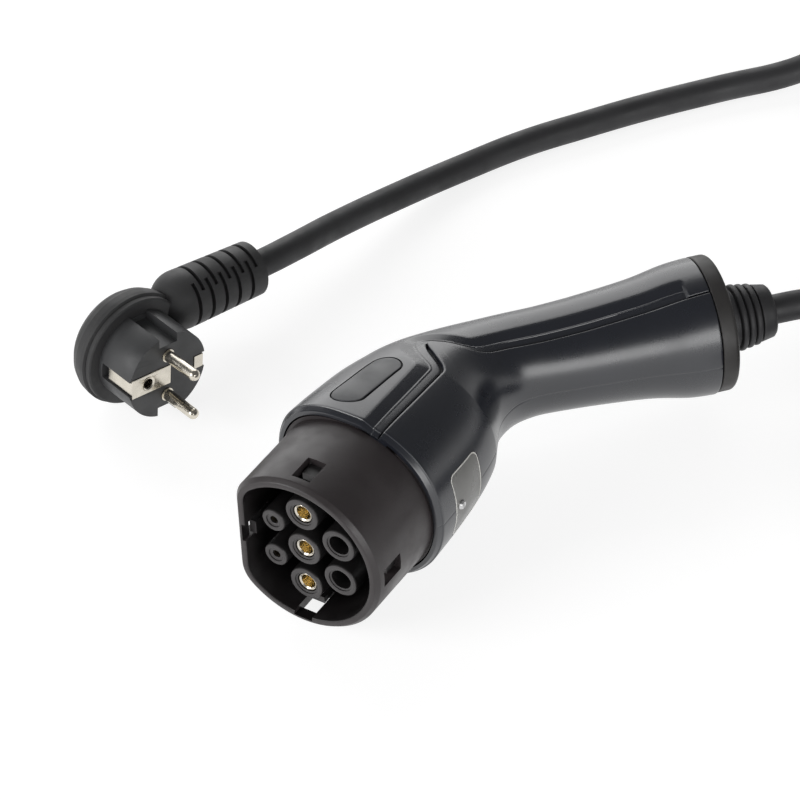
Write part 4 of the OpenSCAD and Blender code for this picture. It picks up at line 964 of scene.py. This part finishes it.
def floor_material():
    mat = bpy.data.materials.new("floor")
    mat.use_nodes = True
    tree = mat.node_tree
    tree.nodes.clear()
    out = tree.nodes.new("ShaderNodeOutputMaterial")
    diffuse = tree.nodes.new("ShaderNodeBsdfDiffuse")
    diffuse.inputs["Color"].default_value = FLOOR_GREY
    glow = tree.nodes.new("ShaderNodeEmission")
    length = tree.nodes.new("ShaderNodeVectorMath")
    length.operation = "LENGTH"
    tree.links.new(tree.nodes.new("ShaderNodeNewGeometry").outputs["Position"], length.inputs[0])
    reach = length.outputs["Value"]
    tree.links.new(ramp(tree, reach, GLOW_NEAR, GLOW_FAR, FLOOR_NEAR, FLOOR_FAR), glow.inputs["Strength"])
    seen = ray_kind(tree, "Is Camera Ray", "Is Glossy Ray", "Is Transmission Ray")
    share = ramp(tree, reach, SHARE_NEAR, SHARE_FAR, FLOOR_NEAR, FLOOR_FAR)
    mix = tree.nodes.new("ShaderNodeMixShader")
    tree.links.new(math_node(tree, "MULTIPLY", seen, share), mix.inputs["Fac"])
    tree.links.new(diffuse.outputs[0], mix.inputs[1])
    tree.links.new(glow.outputs[0], mix.inputs[2])
    tree.links.new(mix.outputs[0], out.inputs["Surface"])
    return mat


def make_floor():
    mesh = bpy.data.meshes.new("floor")
    corners = [(sx * FLOOR_SIZE, sy * FLOOR_SIZE, 0) for sx, sy in ((-1, -1), (1, -1), (1, 1), (-1, 1))]
    mesh.from_pydata(corners, [], [(0, 1, 2, 3)])
    floor = bpy.data.objects.new("floor", mesh)
    scene.collection.objects.link(floor)
    mesh.materials.append(floor_material())


def make_world():
    """The camera sees white all round, and gloss and glass a white backdrop that ends some way up."""
    world = bpy.data.worlds.new("world")
    scene.world = world
    world.use_nodes = True
    tree = world.node_tree
    background = tree.nodes["Background"]
    background.inputs["Color"].default_value = (1, 1, 1, 1)
    direction = tree.nodes.new("ShaderNodeSeparateXYZ")
    tree.links.new(tree.nodes.new("ShaderNodeTexCoord").outputs["Generated"], direction.inputs[0])
    low = ramp(tree, direction.outputs["Z"], 1.0, 0.0, BACKDROP_FROM, BACKDROP_TO)
    backdrop = math_node(tree, "MULTIPLY", low, ray_kind(tree, "Is Glossy Ray", "Is Transmission Ray"))
    white = math_node(tree, "MAXIMUM", ray_kind(tree, "Is Camera Ray"), backdrop)
    tree.links.new(ramp(tree, white, WORLD_LEVEL, 1.0, 0.0, 1.0), background.inputs["Strength"])


def softbox(name, place, target, size, power):
    data = bpy.data.lights.new(name, "AREA")
    data.shape = "RECTANGLE"
    data.size, data.size_y = size
    data.energy = power
    lamp = bpy.data.objects.new(name, data)
    lamp.location = place
    lamp.rotation_mode = "QUATERNION"
    lamp.rotation_quaternion = (Vector(target) - Vector(place)).to_track_quat("-Z", "Y")
    scene.collection.objects.link(lamp)


# Lamps: place, aim, size and power
LAMPS = {
    "key": ((-1.0, 0.95, 0.72), (0, 0, 0.04), (1.7, 1.3), 13.5),
    "right": ((1.25, -0.7, 0.5), (0.05, 0.0, 0.05), (1.4, 0.6), 10.0),
    "front": ((-0.8, -1.2, 0.7), (-0.03, -0.1, 0.04), (1.0, 0.6), 12.5),
}

make_floor()
make_world()
for lamp_name, settings in LAMPS.items():
    softbox(lamp_name, *settings)
scene.view_settings.view_transform = "Standard"
